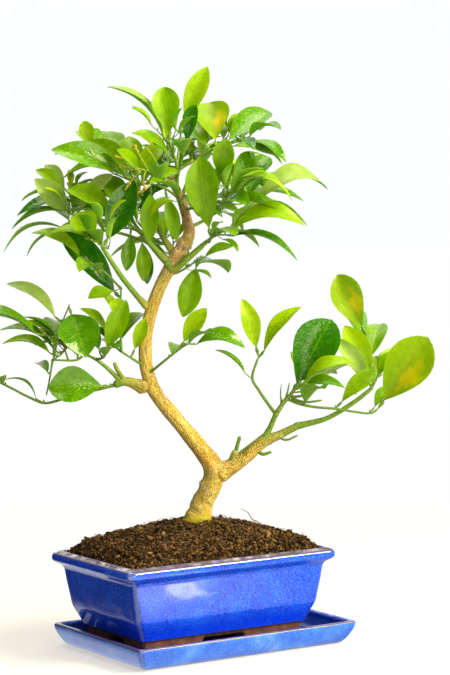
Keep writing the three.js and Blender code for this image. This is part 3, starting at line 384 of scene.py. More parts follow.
# %% Masses
MASSES = {
    "leaves_right_pair": dict(stems=[[[49.5, -8, 67], [45, -6, 73], [39, -5, 82],
        [35, -4, 90], [39, -4, 103]]], thick=2.2, leaves=[[0, 1, 185, 76, 32, 62, 0.36],
        [0, 0.98, 5, 50, 38, 28, 0.3, 0.12], [0, 0.72, 172, 40, 24, 8, 0.3]], tints="bbm"),
    "leaves_right_inner": dict(stems=[[[59, -10, 80], [62, -11, 84],
        [66, -11, 90]]], thick=2.2, leaves=[[0, 0.15, 15, 62, 46, 78, 0.62],
        [0, 0.5, 356, 27, 36, 34, 0.3, 0.2], [0, 0.3, 24, 24, 36, 40, 0.34],
        [0, 0.1, 345, 8, 28, 30, 0.34, 0.22]], more=[[0, 1, 60, 60, 34, 20], [0, 0.9, 85, 25, 30, 10],
        [0, 0.7, 45, 8, 30, 10]], tints="Kbpddmm"),
    "leaves_right_low": dict(stems=[[[56, -9, 77], [64, -13, 74], [74, -14, 72],
        [86, -15, 71], [98, -15, 69], [108, -15, 68], [113, -15, 71]]],
        thick=1.9, leaves=[[0, 0.5, 8, 44, 30, 50, 0.4], [0, 1, 350, 57, 50, 80, 0.54, 0.06],
        [0, 0.82, 40, 40, 20, 30, 0.4]], more=[[0, 0.2, 300, 20, 34, 20]], tints="FYfd"),
    "leaves_right_outer": dict(stems=[[[109, -4, 82], [112, -2, 87]], [[111, -3, 85],
        [108, 3, 98], [107, 6, 115]]], thick=2.2, leaves=[[1, 1, 176, 62, 37, 85, 0.52, 0.08],
        [0, 0.9, 160, 62, 36, 75, 0.44, 0.12], [0, 0.2, 200, 56, 33, 66, 0.36, 0.1],
        [0, 0.8, 45, 50, 22, 40, 0.5], [0, 0.3, 80, 20, 26, 20, 0.5], [0, 1, 10, 62, 16, 60, 0.4]],
        more=[[1, 0.5, 70, 35, 36, 10], [1, 0.8, 120, 40, 34, 10]], sprigs=[2, 70, 60, 20],
        space=[112, 18, 100, 34, 32, 34], tints="Ybpmffmd"),
    "leaves_low_left": dict(stems=[[[-62, -5, 102], [-59, -10, 103],
        [-57, -14, 104]]], thick=1.8, leaves=[[0, 1, 18, 68, 33, 70, 0.38, 0.06],
        [0, 0.6, 150, 70, 14, 60, 0.5]], more=[[0, 0.7, 290, 15, 30, 30]], tints="fdd"),
    "leaves_far_left": dict(stems=[[[-62, -5, 102], [-69, -7, 105],
        [-75, -9, 102], [-89, -11, 102.5]], [[-88, -11, 102], [-88, -14, 110], [-85, -16, 116.5]],
        [[-85, -16, 116.5], [-93, -16, 118]], [[-89, -11, 102.5], [-91, -10, 91], [-93.5, -8, 80]],
        [[-87.6, -12.6, 106], [-84, -10.5, 122], [-78, -11, 137]]],
        thick=1.8, leaves=[[4, 0.96, 300, -54, 30, 58, 0.85], [4, 0.62, 160, 36, 40, 20, 0.3, 0.14],
        [2, 1, 184, 15, 46, 14, 0.4, 0.14], [3, 0.4, 110, 10, 24, 10, 0.3]], more=[[1, 0.5, 95, 25, 34, 5],
        [0, 0.6, 95, 15, 30, 10]], sprigs=[3, 114, 70, 25], space=[-92, 12, 122, 36, 34, 34],
        tints="dpdmmm"),
    "leaves_whip": dict(stems=[[[-52, -3, 85.5], [-60, -4, 83.5], [-72, -4, 81],
        [-85, -5, 77], [-95, -5, 75], [-105, -5, 79], [-116, -6, 85], [-128, -6, 91], [-138, -6, 94]]],
        thick=2, leaves=[[0, 0.02, 196, 2, 34, 66, 0.66, 0.05], [0, 0.5, 175, 30, 24, 0, 0.2, 0.26],
        [0, 0.93, 100, 20, 26, 10, 0.36], [0, 0.78, 260, 15, 24, 15, 0.36]], tints="Ddmm"),
    "leaves_left_middle": dict(stems=[[[-31, 3, 96], [-38, -2, 101], [-47, -4, 107]],
        [[-46.5, -4, 107], [-47, -5, 129], [-46, -8, 147]], [[-46, -7, 146], [-55, -14, 156],
        [-66, -16, 164]]], thick=2, leaves=[[0, 0.65, 355, 68, 22, 72, 0.38, 0.05],
        [1, 0.45, 200, 58, 16, 40, 0.4], [1, 0.8, 162, 48, 55, 55, 0.34, 0.05],
        [1, 0.98, 200, -15, 16, 55, 0.62], [1, 0.9, 260, -32, 14, 40, 0.6], [0, 1, 150, 40, 18, 30, 0.34]],
        more=[[2, 1, 150, 30, 34, 20], [2, 0.6, 250, 5, 34, 30]], sprigs=[3, 130, 60, 10],
        space=[-62, 14, 138, 36, 34, 34], tints="bbkfbkmm"),
    "leaves_middle_right": dict(stems=[[[-30, 2, 92], [-22, -4, 99], [-12, -8, 107],
        [-5, -9, 112]]], thick=1.9, leaves=[[0, 0.98, 358, -2, 30, 35, 0.44, 0.24],
        [0, 0.72, 8, 57, 26, 60, 0.46, 0.04], [0, 0.9, 300, 15, 30, 10, 0.34]],
        more=[[0, 0.5, 70, 10, 28, 10]], tints="dbdm"),
    "leaves_left": dict(stems=[[[-56, -19, 171], [-58, -20, 175]]],
        thick=2.2, leaves=[[0, 1, 165, 50, 20, 70, 0.8], [0, 0.3, 22, 62, 40, 84, 0.44, 0.05]],
        more=[[0, 0.6, 250, 15, 36, 25]], sprigs=[3, 240, 80, 15], space=[-62, -30, 178, 36, 30, 32],
        tints="bkm"),
    "leaves_left_inner": dict(stems=[[[-33, -4, 180], [-38, -4, 184],
        [-47, -4, 191]]], thick=2.4, leaves=[[0, 0.02, 320, -84, 23, 88, 0.4, 0.04],
        [0, 0.08, 40, -80, 25, 70, 0.4, 0.04], [0, 0.6, 230, -82, 22, 80, 0.4, 0.05],
        [0, 0.2, 150, 36, 28, 5, 0.3, 0.08]], more=[[0, 1, 205, 30, 34, 40], [0, 0.8, 120, 50, 32, 30]],
        tints="mkdmmf"),
    "leaves_left_outer": dict(stems=[[[-72, 5, 183], [-76, 3, 186], [-76, 2, 195],
        [-78, 1, 206]]], thick=1.9, leaves=[[0, 0.55, 212, 40, 30, 65, 0.48],
        [0, 0.5, 350, 50, 32, 45, 0.34, 0.05], [0, 0.97, 15, 50, 12, 20, 0.4, 0.2],
        [0, 1, 200, 36, 20, 45, 0.46], [0, 0.95, 150, 48, 20, 40, 0.46],
        [0, 0.25, 183, -16, 40, 2, 0.24, 0.22], [0, 0.1, 200, -26, 30, 2, 0.22, 0.2]],
        more=[[0, 0.6, 80, 30, 34, 20], [0, 0.4, 120, 15, 36, 15]], sprigs=[4, 150, 110, 20],
        space=[-88, 10, 196, 36, 34, 30], tints="pPdfPppmd"),
    "leaves_left_top": dict(stems=[[[-34, 5, 205], [-38, 3, 214]], [[-37, 4, 212],
        [-50, 12, 221], [-63, 15, 229]]], thick=2.2, leaves=[[0, 1, 186, 20, 50, 46, 0.36, 0.1],
        [0, 0.85, 160, 42, 34, 48, 0.42, 0.14], [0, 0.9, 20, 52, 22, 50, 0.6],
        [1, 1, 175, 74, 18, 85, 0.54]], more=[[0, 0.6, 110, 60, 30, 30], [1, 0.5, 100, 35, 36, 20],
        [1, 0.9, 60, 30, 34, 15], [1, 0.7, 215, 10, 32, 20]], sprigs=[3, 150, 80, 30],
        space=[-52, 18, 222, 40, 34, 30], tints="dmFBmmff"),
    "leaves_inner": dict(stems=[[[-10, 0, 202], [-18, -7, 208], [-27, -9, 211],
        [-36, -10, 210]]], thick=1.7, leaves=[[0, 1, 10, -66, 24, 75, 0.38],
        [0, 0.66, 260, -80, 28, 80, 0.44], [0, 0.35, 330, -74, 26, 70, 0.38],
        [0, 0.85, 240, 35, 30, 50, 0.44], [0, 0.95, 350, 18, 22, 45, 0.42]],
        more=[[0, 0.5, 275, 20, 32, 35]], sprigs=[2, 250, 60, 30], space=[-24, -24, 208, 32, 30, 30],
        tints="kffmfm"),
    "leaves_front": dict(stems=[[[-8, 0, 196], [-9, -10, 200], [-6, -17, 203]]],
        thick=1.7, leaves=[[0, 1, 190, -28, 18, 25, 0.36, 0.2], [0, 1, 348, -26, 20, 32, 0.4, 0.12]],
        more=[[0, 0.9, 275, 15, 30, 30]], tints="bdm"),
    "leaves_crown_right": dict(stems=[[[6, -9, 174], [11, -13, 178],
        [16, -17, 182]], [[8, -11, 175.5], [9, -18, 175], [10, -25, 178]]],
        thick=2.4, leaves=[[0, 1, 358, 4, 46, 40, 0.34, 0.24], [0, 0.9, 14, 6, 50, 12, 0.28, 0.3],
        [1, 1, 180, 79, 46, 84, 0.44, 0.05], [0, 0.7, 320, -28, 14, 10, 0.4]],
        more=[[0, 0.5, 290, 5, 32, 25]], sprigs=[2, 300, 60, 5], space=[34, -26, 188, 38, 30, 26],
        tints="fpMfm"),
    "leaves_under_crown": dict(stems=[[[-17, -1, 154], [-10, 6, 156], [-3, 9, 160],
        [2, 9, 164]]], thick=1.8, leaves=[[0, 1, 200, -74, 32, 85, 0.46, 0.05],
        [0, 0.9, 350, 22, 20, 35, 0.36], [0, 0.5, 330, -14, 14, 10, 0.34]],
        more=[[0, 0.8, 60, -10, 34, 10], [0, 0.6, 110, 10, 34, 10]], tints="ffmdd"),
    "leaves_top": dict(stems=[[[-11, 0, 207], [-11, -2, 222], [-15, -3, 236]], [[-11, -1, 222],
        [-9, 5, 236], [-8, 6, 246]], [[-11, -1, 214], [-8, -6, 224], [-6, -7, 231]]],
        thick=2.4, leaves=[[0, 1, 120, 80, 32, 84, 0.52, 0.03], [0, 0.95, 178, 44, 48, 4, 0.26, 0.16],
        [1, 1, 8, 67, 38, 68, 0.36, 0.04], [2, 1, 350, 76, 24, 50, 0.42]], more=[[0, 0.6, 215, 30, 30, 40],
        [1, 0.8, 130, 30, 36, 15], [2, 0.7, 270, 20, 28, 30]], sprigs=[3, 200, 90, 40],
        space=[-18, -6, 244, 34, 34, 34], tints="FpbKmmd"),
    "leaves_top_right": dict(stems=[[[-8, 0, 203], [-1, 1, 220], [7, 0, 230], [20, -2, 235.5],
        [31, -2, 239]]], thick=2.4, leaves=[[0, 0.63, 98, 52, 32, 42, 0.72, 0.04],
        [0, 0.7, 40, 30, 38, 50, 0.5, 0.08], [0, 1, 305, 8, 32, 4, 0.36, 0.14],
        [0, 0.85, 290, -6, 26, 10, 0.4], [0, 0.72, 345, -10, 28, 30, 0.4],
        [0, 1, 345, -26, 26, 25, 0.34, 0.18], [0, 0.36, 75, 28, 34, 5, 0.3, 0.18]],
        more=[[0, 0.9, 70, 10, 36, 15], [0, 0.55, 150, 30, 34, 30]], sprigs=[2, 100, 40, 5],
        space=[26, 20, 240, 34, 34, 26], tints="YDdkmdpmf"),
    "leaves_right_upper": dict(stems=[[[-7, 0, 195], [6, -10, 197], [21, -18, 201]],
        [[6, -10, 197], [10, -15, 205], [14, -18, 211]], [[19, -17, 200], [26, -6, 198], [33, 0, 199]]],
        thick=2, leaves=[[1, 1, 300, 62, 26, 80, 0.5], [1, 0.95, 352, -9, 42, 20, 0.28, 0.24],
        [0, 0.98, 25, 45, 36, 62, 0.54], [2, 1, 12, 10, 50, 38, 0.38, 0.26],
        [0, 1, 345, 18, 34, 30, 0.32, 0.2], [2, 0.8, 60, 42, 26, 40, 0.5]], more=[[2, 1, 70, 15, 34, 10],
        [0, 0.8, 290, 0, 30, 30]], sprigs=[3, 320, 80, 15], space=[38, -24, 206, 34, 30, 24],
        tints="MbDpfdmd"),
    "leaves_back_left": dict(stems=[[[-15, 0, 160], [-22, 14, 170], [-34, 28, 180],
        [-44, 38, 192]]], thick=2.6, leaves=[], sprigs=[8, 110, 110, 20],
        space=[-50, 40, 188, 48, 38, 42]),
    "leaves_back_right": dict(stems=[[[-3, 2, 184], [6, 16, 188], [18, 28, 196],
        [30, 36, 206]]], thick=2.4, leaves=[], sprigs=[9, 50, 110, 15], space=[34, 36, 204, 44, 38, 38]),
    "leaves_back_top": dict(stems=[[[-8, 0, 199], [-13, 14, 208], [-12, 24, 218],
        [-8, 32, 230]]], thick=2.4, leaves=[], sprigs=[8, 90, 130, 30], space=[-8, 36, 232, 42, 36, 38]),
}

# %% [markdown]
# ## Smooth limbs
#
# A limb could be a Blender curve, but the growing rule below asks for many points on it at once.
# A Catmull-Rom curve passes through every way point, and one formula gives any number of points.

# %% Points along a limb
def limb(path, thick):
    """A limb's way points and thickness; one number for its thickness tapers by 35 percent."""
    path = np.array(path, float)
    if np.ndim(thick) == 0:
        thick = thick * (1 - 0.35 * np.arange(len(path)) / (len(path) - 1))
    return path, np.array(thick, float)


def along(one, share):
    """Points on the limb at shares from 0 to 1. Between way points b and c, with a before and d
    after, p = b + v t + (3 (c - b) - 2 v - w) t^2 + (2 (b - c) + v + w) t^3, where v = (c - a) / 2
    and w = (d - b) / 2; a missing neighbour is the end point mirrored."""
    path = one[0]
    padded = np.concatenate([[2 * path[0] - path[1]], path, [2 * path[-1] - path[-2]]])
    place = np.clip(np.asarray(share, float), 0, 1) * (len(path) - 1)
    start = np.minimum(place.astype(int), len(path) - 2)
    t = (place - start)[..., None]
    a, b, c, d = (padded[start + k] for k in range(4))
    v, w = (c - a) / 2, (d - b) / 2
    return b + v * t + (3 * (c - b) - 2 * v - w) * t**2 + (2 * (b - c) + v + w) * t**3


def radius(one, share):
    """Half the thickness at a share of the way, in straight lines between way points."""
    places = np.linspace(0, 1, len(one[1]))
    return np.interp(share, places, one[1]) / 2


def length_of(one):
    """Length of the curve in 200 short steps."""
    return np.linalg.norm(np.diff(along(one, np.linspace(0, 1, 201)), axis=0), axis=1).sum()


# %% [markdown]
# ## The growing rule
#
# Leaves could be scattered over a surface, but then they cut through each other and float off
# their twigs. Here each leaf starts on a stem, points where its row says, and is tested against
# everything placed before it. A leaf that would touch swings aside, and is left out if nothing
# clears it. Sprigs branch off by drawn numbers, and each carries a spiral of leaves.

# %% Named sizes of the rule
STALK = 6
FOLD = 0.28
WIDE, ARCH = 0.46, 0.1
CLEAR_LIMB, CLEAR_OTHER, CLEAR_OWN = 1.2, 3.2, 2.2
NEAR_STALK, LOOK_ROUND = 0.35, 16
SPRIG_SEED, SPRIG_LEAVES, SPRIG_THICK = 20, 3, 1.3
SPRIG_TWIG, SPRIG_LEAF = (9, 9), (30, 12)
SPRIG_TINTS = "mmmddfdkfb"
SPIRAL = 137.5
SWINGS = 0, 12, -12, 24, -24, 36, -36, 48, -48

# %% Directions, and a leaf's blade
def heading(aim, rise):
    """Unit vector: aim turns round the upright line, rise tips up."""
    aim, rise = np.radians(aim), np.radians(rise)
    return np.array([np.cos(rise) * np.cos(aim), np.cos(rise) * np.sin(aim), np.sin(rise)])


def blade_of(root, aim, rise, length, face, wide=WIDE, arch=ARCH):
    """A blade as root, base, its three directions, length, half width and arch. Its top starts as
    straight up turned by face towards the onlooker, made square to the blade."""
    ahead = heading(aim, rise)
    top = np.array([0, -np.sin(np.radians(face)), np.cos(np.radians(face))])
    top = top - ahead * top.dot(ahead)
    top /= np.linalg.norm(top)
    return dict(root=root, base=root + STALK * ahead, ahead=ahead, top=top, side=np.cross(ahead, top),
        length=length, half=wide * length / 2, arch=arch)


def outline(t):
    """Half width as a share of the widest, sin(pi t^1.1)^0.75: widest a little past the middle."""
    return np.clip(np.sin(np.pi * np.clip(t, 0, 1) ** 1.1), 0, 1) ** 0.75


CHECK_GRID = np.meshgrid(np.arange(1, 10) / 9, np.arange(-2, 3) * 0.45, indexing="ij")
CHECK_T, CHECK_S = (part.ravel() for part in CHECK_GRID)


def blade_points(blade, t=CHECK_T, across=CHECK_S):
    """Points of a blade: base + ahead L t + top (4 arch L t (1 - t) + fold w |s|) + side w s."""
    width = blade["half"] * outline(t)
    lift = blade["arch"] * blade["length"] * 4 * t * (1 - t) + FOLD * width * np.abs(across)
    run, lift, out = (part[..., None] for part in (blade["length"] * t, lift, width * across))
    return blade["base"] + blade["ahead"] * run + blade["top"] * lift + blade["side"] * out


# %% What is already placed, and whether new points keep clear of it
placed = dict(at=np.zeros((0, 3)), t=np.zeros(0), thick=np.zeros(0), owner=np.zeros(0, int),
    limb=np.zeros(0, bool))


def put_down(at, t, thick, owner, is_limb=False):
    """Remembers points that later leaves must keep clear of."""
    new = dict(at=at, t=t, thick=thick, owner=np.full(len(at), owner), limb=np.full(len(at), is_limb))
    for key in placed:
        placed[key] = np.concatenate([placed[key], new[key]])


def limb_points(one):
    """A point every 2 mm or so along a limb, with its radius."""
    share = np.linspace(0, 1, max(2, int(np.floor(length_of(one) / 2 + 0.5))) + 1)
    return along(one, share), np.ones(len(share)), radius(one, share)


def is_clear(at, t, owner, skip_own=False):
    """Whether points keep their distance: further from a limb's skin, from other masses and from
    their own mass than the three clearances. Near a leaf's stalk its own mass may touch."""
    near = np.abs(placed["at"] - at.mean(0)).max(1) < np.ptp(at, axis=0).max() + LOOK_ROUND
    own = placed["owner"][near] == owner
    gap = np.where(placed["limb"][near], CLEAR_LIMB, np.where(own, CLEAR_OWN, CLEAR_OTHER))
    apart = np.linalg.norm(at[:, None] - placed["at"][near], axis=2) - placed["thick"][near]
    excused = own & (skip_own | (t[:, None] < NEAR_STALK) | (placed["t"][near] < NEAR_STALK))
    return bool((excused | (apart > gap)).all())


def in_space(point, space):
    """Whether a point lies in a mass's ellipsoid: sum of ((p - c) / r)^2 at most 1."""
    return (((point - np.array(space[:3])) / np.array(space[3:])) ** 2).sum() <= 1


# %% Grow the plant
numbers = {name: k for k, name in enumerate([*LIMBS, *MASSES])}
limbs = {name: limb(row["path"], row["thick"]) for name, row in LIMBS.items()}
stems = {name: [] for name in MASSES}
leaves = []
sprig_twigs = []


def add_leaf(name, blades, tint, space=None):
    """Keeps the first of some blades that clears what is placed."""
    for blade in blades:
        if space and not in_space(blade_points(blade, np.array(1.0), np.array(0.0)), space):
            continue
        at = blade_points(blade)
        if is_clear(at, CHECK_T, numbers[name]):
            leaves.append(dict(blade, mass=name, tint=tint))
            put_down(at, CHECK_T, np.zeros(len(at)), numbers[name])
            return True
    return False


for name, one in limbs.items():
    put_down(*limb_points(one), numbers[name], True)
for name, row in MASSES.items():
    for k, path in enumerate(row["stems"]):
        stems[name].append(limb(path, row["thick"] * (0.75 if k else 1)))
        put_down(*limb_points(stems[name][-1]), numbers[name])
for kind in ("leaves", "more"):
    for name, row in MASSES.items():
        tints = row.get("tints", "")[len(row["leaves"]) if kind == "more" else 0:]
        for (stem, share, aim, *rest), tint in zip(row.get(kind, []), tints):
            root = along(stems[name][stem], share)
            add_leaf(name, [blade_of(root, aim + swing, *rest) for swing in SWINGS], tint)
print("stated leaves:", len(leaves))

# %% Sprigs by drawn numbers
state = SPRIG_SEED


def draw(middle=0.5, spread=0.5):
    """The next repeatable number, evenly spread about a middle: state' = 16807 state mod 2^31 - 1."""
    global state
    state = state * 16807 % 2147483647
    return middle + spread * (2 * state / 2147483647 - 1)


for name, row in MASSES.items():
    count, aim, spread, rise = row.get("sprigs", (0, 0, 0, 0))
    for k in range(count):
        start = along(stems[name][0], min(1, 0.35 + 0.65 * (k + 1) / count))
        turned = draw(aim, spread)
        length = SPRIG_TWIG[0] + SPRIG_TWIG[1] * draw()
        end = start + length * heading(turned, draw(rise, 25))
        twig = limb([start, end], SPRIG_THICK)
        fan = []
        for n in range(SPRIG_LEAVES):
            aimed = turned + SPIRAL * (n + 1) + draw(0, 15)
            rest = draw(20, 30), SPRIG_LEAF[0] + SPRIG_LEAF[1] * draw(), draw(15, 15)
            root = along(twig, 1 - 0.2 * n)
            fan.append([blade_of(root, aimed + swing, *rest) for swing in SWINGS])
        at, t, thick = limb_points(twig)
        if not in_space(end, row["space"]) or not is_clear(at, t, numbers[name], skip_own=True):
            continue
        stems[name].append(twig)
        sprig_twigs.append((name, twig))
        put_down(at, t, thick, numbers[name])
        for blades in fan:
            if add_leaf(name, blades, SPRIG_TINTS[draws.integers(10)], row["space"]):
                leaves[-1]["sprig"] = 1.0
print("leaves with sprigs:", len(leaves))

# %% [markdown]
# ## Bark
#
# Citrus bark is thin and tan, cracked lengthwise into fine dark lines, and each bough starts in a
# swollen collar. A displacement modifier could carve the cracks from a texture. Here the radius of
# each ring is a formula instead, so the same cracks can darken the material, through a field that
# is kept at every point.

# %% Rings round a limb
def rings_of(one, rings, around):
    """Shares along a limb, centres, directions outwards and turns. A direction outwards is
    side sin(turn) + front cos(turn), both square to the curve."""
    share = np.linspace(0, 1, rings)
    ahead = along(one, share + 0.0005) - along(one, share - 0.0005)
    ahead /= np.linalg.norm(ahead, axis=1, keepdims=True)
    ends = one[0][-1] - one[0][0]
    first = np.array([0, 0, 1.0] if abs(ends[1]) > 0.7 * np.linalg.norm(ends) else [0, 1.0, 0])
    front = first - ahead * (ahead @ first)[:, None]
    front /= np.linalg.norm(front, axis=1, keepdims=True)
    side = np.cross(ahead, front)
    turn = np.arange(around) * 2 * np.pi / around
    out = side[:, None] * np.sin(turn)[:, None] + front[:, None] * np.cos(turn)[:, None]
    return share, along(one, share), out, turn


def rounded_tip(run, half):
    """Share of the radius that is left near a limb's end, sqrt(1 - x^2) over the last radius."""
    end = max(half[-1].mean(), 0.2)
    return np.sqrt(1 - np.clip((run - run[-1] + end) / end, 0, 0.995) ** 2)[:, None]


# %% The skin of a bark limb
CRACK_LONG, CRACK_WIDE = 6.0, 1.25
COLLAR_FADE = 5.0


def cracks(on_skin, seed):
    """Cracks from 0 to 1: thin where a noise n stretched along the limb crosses nought,
    1 - |n| / 0.15, and strongest in patches of a second, slower noise."""
    line = np.clip(1 - np.abs(noise(on_skin, seed)) / 0.15, 0, 1)
    fine = np.clip(1 - np.abs(noise(on_skin * (2.1, 2.1, 1.7), seed + 1)) / 0.24, 0, 1)
    patch = np.clip(0.5 + 0.85 * noise(on_skin * 0.35, seed + 2), 0.08, 1)
    return np.clip((line + 0.6 * fine) * patch, 0, 1)


def bark_skin(one, rings, around, seed, depth=0.25, parent=0.0, flute=0.0, knots=()):
    """Points and fields of a bark limb. Radius = (its thickness / 2) (1 + flute cos(3 turn + 9 share))
    (1 + 0.3 e^-((run - parent) / 5)^2) + slow noise + knots - depth x cracks, where parent is the
    radius of the limb it stands on, inside which it starts thin. A knot (share, turn, height, size)
    adds height e^-(distance / size)^2. The field skin is a place on the unrolled bark."""
    share, centre, out, turn = rings_of(one, rings, around)
    run = share * length_of(one)
    half = radius(one, share)[:, None] * (1 + flute * np.cos(3 * turn + 9 * share[:, None]))
    if parent:
        swollen = 1 + 0.3 * np.exp(-(((run - parent) / COLLAR_FADE) ** 2))
        half = half * (swollen * np.clip(0.35 + 0.65 * run / parent, 0, 1))[:, None]
    cells = one[1].mean() / 2 / CRACK_WIDE
    skin_at = np.broadcast_arrays(cells * np.cos(turn), cells * np.sin(turn), run[:, None] / CRACK_LONG)
    skin_at = np.stack(skin_at, -1)
    crack = cracks(skin_at, seed)
    swell = noise(skin_at * (0.5, 0.5, 0.9), seed + 3)
    half = half * (1 + 0.05 * swell)
    knot = np.zeros_like(half)
    for place, facing, height, size in knots:
        apart = np.angle(np.exp(1j * (turn - np.radians(facing)))) * half
        near = np.exp(-((run[:, None] - place * run[-1]) ** 2 + apart**2) / size**2)
        half = half + height * near
        knot = np.maximum(knot, near)
    half = (half - depth * crack * np.minimum(1, half / 4)) * rounded_tip(run, half)
    points = centre[:, None] + out * half[..., None]
    return points, dict(crack=crack, swell=swell, knot=knot, skin=skin_at[None])


# %% [markdown]
# ## Finishes for wood
#
# Old bark is tan with brown in its cracks and orange where it has rubbed, young wood is green, and
# moss creeps up the foot. Two materials could meet at a hard edge only. One set of nodes serves
# both instead, with the kept fields choosing between colours, so a bough can pass from tan to green
# along its length.

# %% Bark and green wood
def wood_finish(name, roughness=0.72, relief=0.5):
    """Blends tan bark and green wood by the field age, and lays cracks, rubbed orange, old brown
    bark, pale knots and moss over them by the other fields. Hair lines and furrows run lengthwise
    where a noise over the unrolled bark is near its middle."""
    finish, shader, tree, where = finish_of(name, roughness, Specular_IOR_Level=0.18)
    age, crack, swell, knot, moss, old, rub = (
        field(tree, each) for each in ("age", "crack", "swell", "knot", "moss", "old", "rub"))
    on_skin = field(tree, "skin", "Vector")
    grain, blotch = cloudy(where, 1.6, 4, 0.65), cloudy(where, 0.11, 3)
    hair = near_middle(cloudy(on_skin, 1.9, 3, 0.65), 13.0)
    furrow = near_middle(cloudy(on_skin, 0.85, 3, 0.6), 12.0)
    tan = laid_over(ramp(grain, (0.3, (188, 146, 38)), (0.5, (234, 196, 78)), (0.7, (254, 232, 136))),
        (clip((blotch - 0.52) * 5.0) * 0.25, (240, 172, 52)), (clip((swell - 0.1) * 0.7), (246, 220, 140)),
        (rub * 0.5, (242, 160, 44)), (old * 0.75, (252, 202, 150)),
        (hair * (0.68 - old * 0.4), (92, 66, 12)), (old * furrow * 0.95, (74, 38, 16)),
        (crack * 0.6, (122, 86, 26)))
    green = laid_over(ramp(grain, (0.3, (72, 120, 4)), (0.55, (112, 158, 16)), (0.8, (152, 190, 44))),
        (furrow * 0.5, (52, 92, 4)), (hair * 0.45, (186, 196, 96)))
    tint = laid_over(mix(clip(age + (blotch - 0.5) * 0.8), green, tan),
        (knot * 0.55, (206, 196, 118)), (moss, (184, 168, 8)))
    join(tint, shader.inputs["Base Color"])
    bump(shader, grain - (crack + hair), relief, 0.0003)
    return finish


bark = wood_finish("bark")
green_bark = wood_finish("green_bark", 0.5, 0.12)

# %% Trunk
TRUNK_RINGS, TRUNK_AROUND = 620, 110
TOP_SLIMMER = np.interp(np.arange(17), [11, 12, 13, 14, 16], [1, 0.92, 0.78, 0.74, 0.78])
KNOTS = [
    (0.79, 90, 1.9, 2.2), (0.77, 250, 2.1, 2.1), (0.8, 320, 1.9, 1.9), (0.755, 10, 1.8, 2.2),
    (0.81, 180, 1.5, 1.8), (0.775, 300, 1.8, 1.5), (0.785, 200, 1.9, 1.8), (0.765, 150, 1.5, 1.7),
    (0.757, 285, 1.7, 1.5), (0.79, 270, 1.6, 1.4), (0.773, 225, 1.6, 1.3), (0.748, 240, 1.5, 1.6),
    (0.72, 330, 0.7, 4), (0.245, 100, 1.3, 3.2), (0.155, 150, 0.5, 3), (0.2, 230, 0.6, 3),
    (0.45, 60, 0.5, 5), (0.58, 250, 0.6, 4), (0.87, 60, 0.7, 3),
]
MOSS_TOP, FORK_HEIGHT, OLD_FROM, WEATHERED = 6.5, 40, 152, 34
dressed_trunk = limbs["trunk"][0], limbs["trunk"][1] * TOP_SLIMMER
trunk_at, trunk_fields = bark_skin(dressed_trunk, TRUNK_RINGS, TRUNK_AROUND, 11, 0.3, 0.0, 0.05, KNOTS)
up = trunk_at[..., 2]
foot = np.clip((MOSS_TOP - up) / 5, 0, 1) * np.clip(0.55 + 1.1 * noise(trunk_at / 3, 5), 0, 1)
rubbed = np.exp(-(((up - FORK_HEIGHT) / 8) ** 2)) * (0.5 + 1.3 * noise(trunk_at / 3.5, 8))
trunk_fields.update(moss=np.clip(foot * 1.3, 0, 0.8), age=1.0, rub=np.clip(rubbed, 0, 1),
    old=np.clip((up - OLD_FROM) / 10, 0, 1) * np.clip(0.75 + noise(trunk_at / 4, 6), 0, 1),
    crack=trunk_fields["crack"] * np.clip(up / WEATHERED, 0.35, 1))
put_mesh("trunk_bark", [(trunk_at, trunk_fields)], [bark], ["trunk"], wood)

# %% Boughs
BOUGH_AGE = {
    "bough_right": (0.36, 0.62), "bough_low_left": (0.2, 0.85), "bough_right_inner": (-0.1, 0.2),
    "bough_low_left_upper": (0.0, 0.3), "bough_left": (0.0, 0.3), "bough_left_upper": (-0.1, 0.3),
    "bough_left_outer": (0.0, 0.4), "bough_left_top": (-0.1, 0.35), "bough_crown_right": (0.0, 0.4),
}
BOUGH_KNOTS = {
    "bough_right": [(0.14, 60, 1.0, 2.6), (0.40, 90, 1.0, 2.2), (0.42, 300, 0.7, 2), (0.62, 80, 0.7, 1.6),
        (0.5, 200, 0.4, 1.6)],
    "bough_right_inner": [(0.12, 0, 0.5, 1.5), (0.8, 90, 0.5, 1.5)],
}
BOUGH_RING_EVERY, BOUGH_AROUND, TAN_BOUGHS, OLD_BOUGHS_ABOVE = 0.4, (56, 36), 2, 140
skins = []
for k, (name, (first, last)) in enumerate(BOUGH_AGE.items()):
    one, parent = limbs[name], limbs[LIMBS[name]["on"]]
    nearest = np.linalg.norm(along(parent, np.linspace(0, 1, 200)) - one[0][0], axis=1).argmin() / 199
    rings = int(length_of(one) / BOUGH_RING_EVERY)
    at, fields = bark_skin(one, rings, BOUGH_AROUND[k >= TAN_BOUGHS], 30 + 7 * k, 0.22,
        0.8 * radius(parent, nearest), knots=BOUGH_KNOTS.get(name, ()))
    age = np.clip((last - np.linspace(0, 1, rings)[:, None]) / (last - first), 0, 1)
    fields.update(age=age, moss=0.0, old=0.3 * age * (at[..., 2] > OLD_BOUGHS_ABOVE))
    skins.append((at, fields))
names = list(BOUGH_AGE)
put_mesh("boughs_bark", skins[:TAN_BOUGHS], [bark], names[:TAN_BOUGHS], wood)
put_mesh("boughs_green", skins[TAN_BOUGHS:], [green_bark], names[TAN_BOUGHS:], wood)

# %% [markdown]
# ## Twigs, stalks, thorns and buds
#
# A citrus twig is green and uneven, and carries a bud and often a thorn in the corner above a leaf's
# stalk. The stalk is flattened like a narrow wing and has a joint where the blade begins. A curve
# object for each would be slow. All of them are rings along a short path, made many at a time.

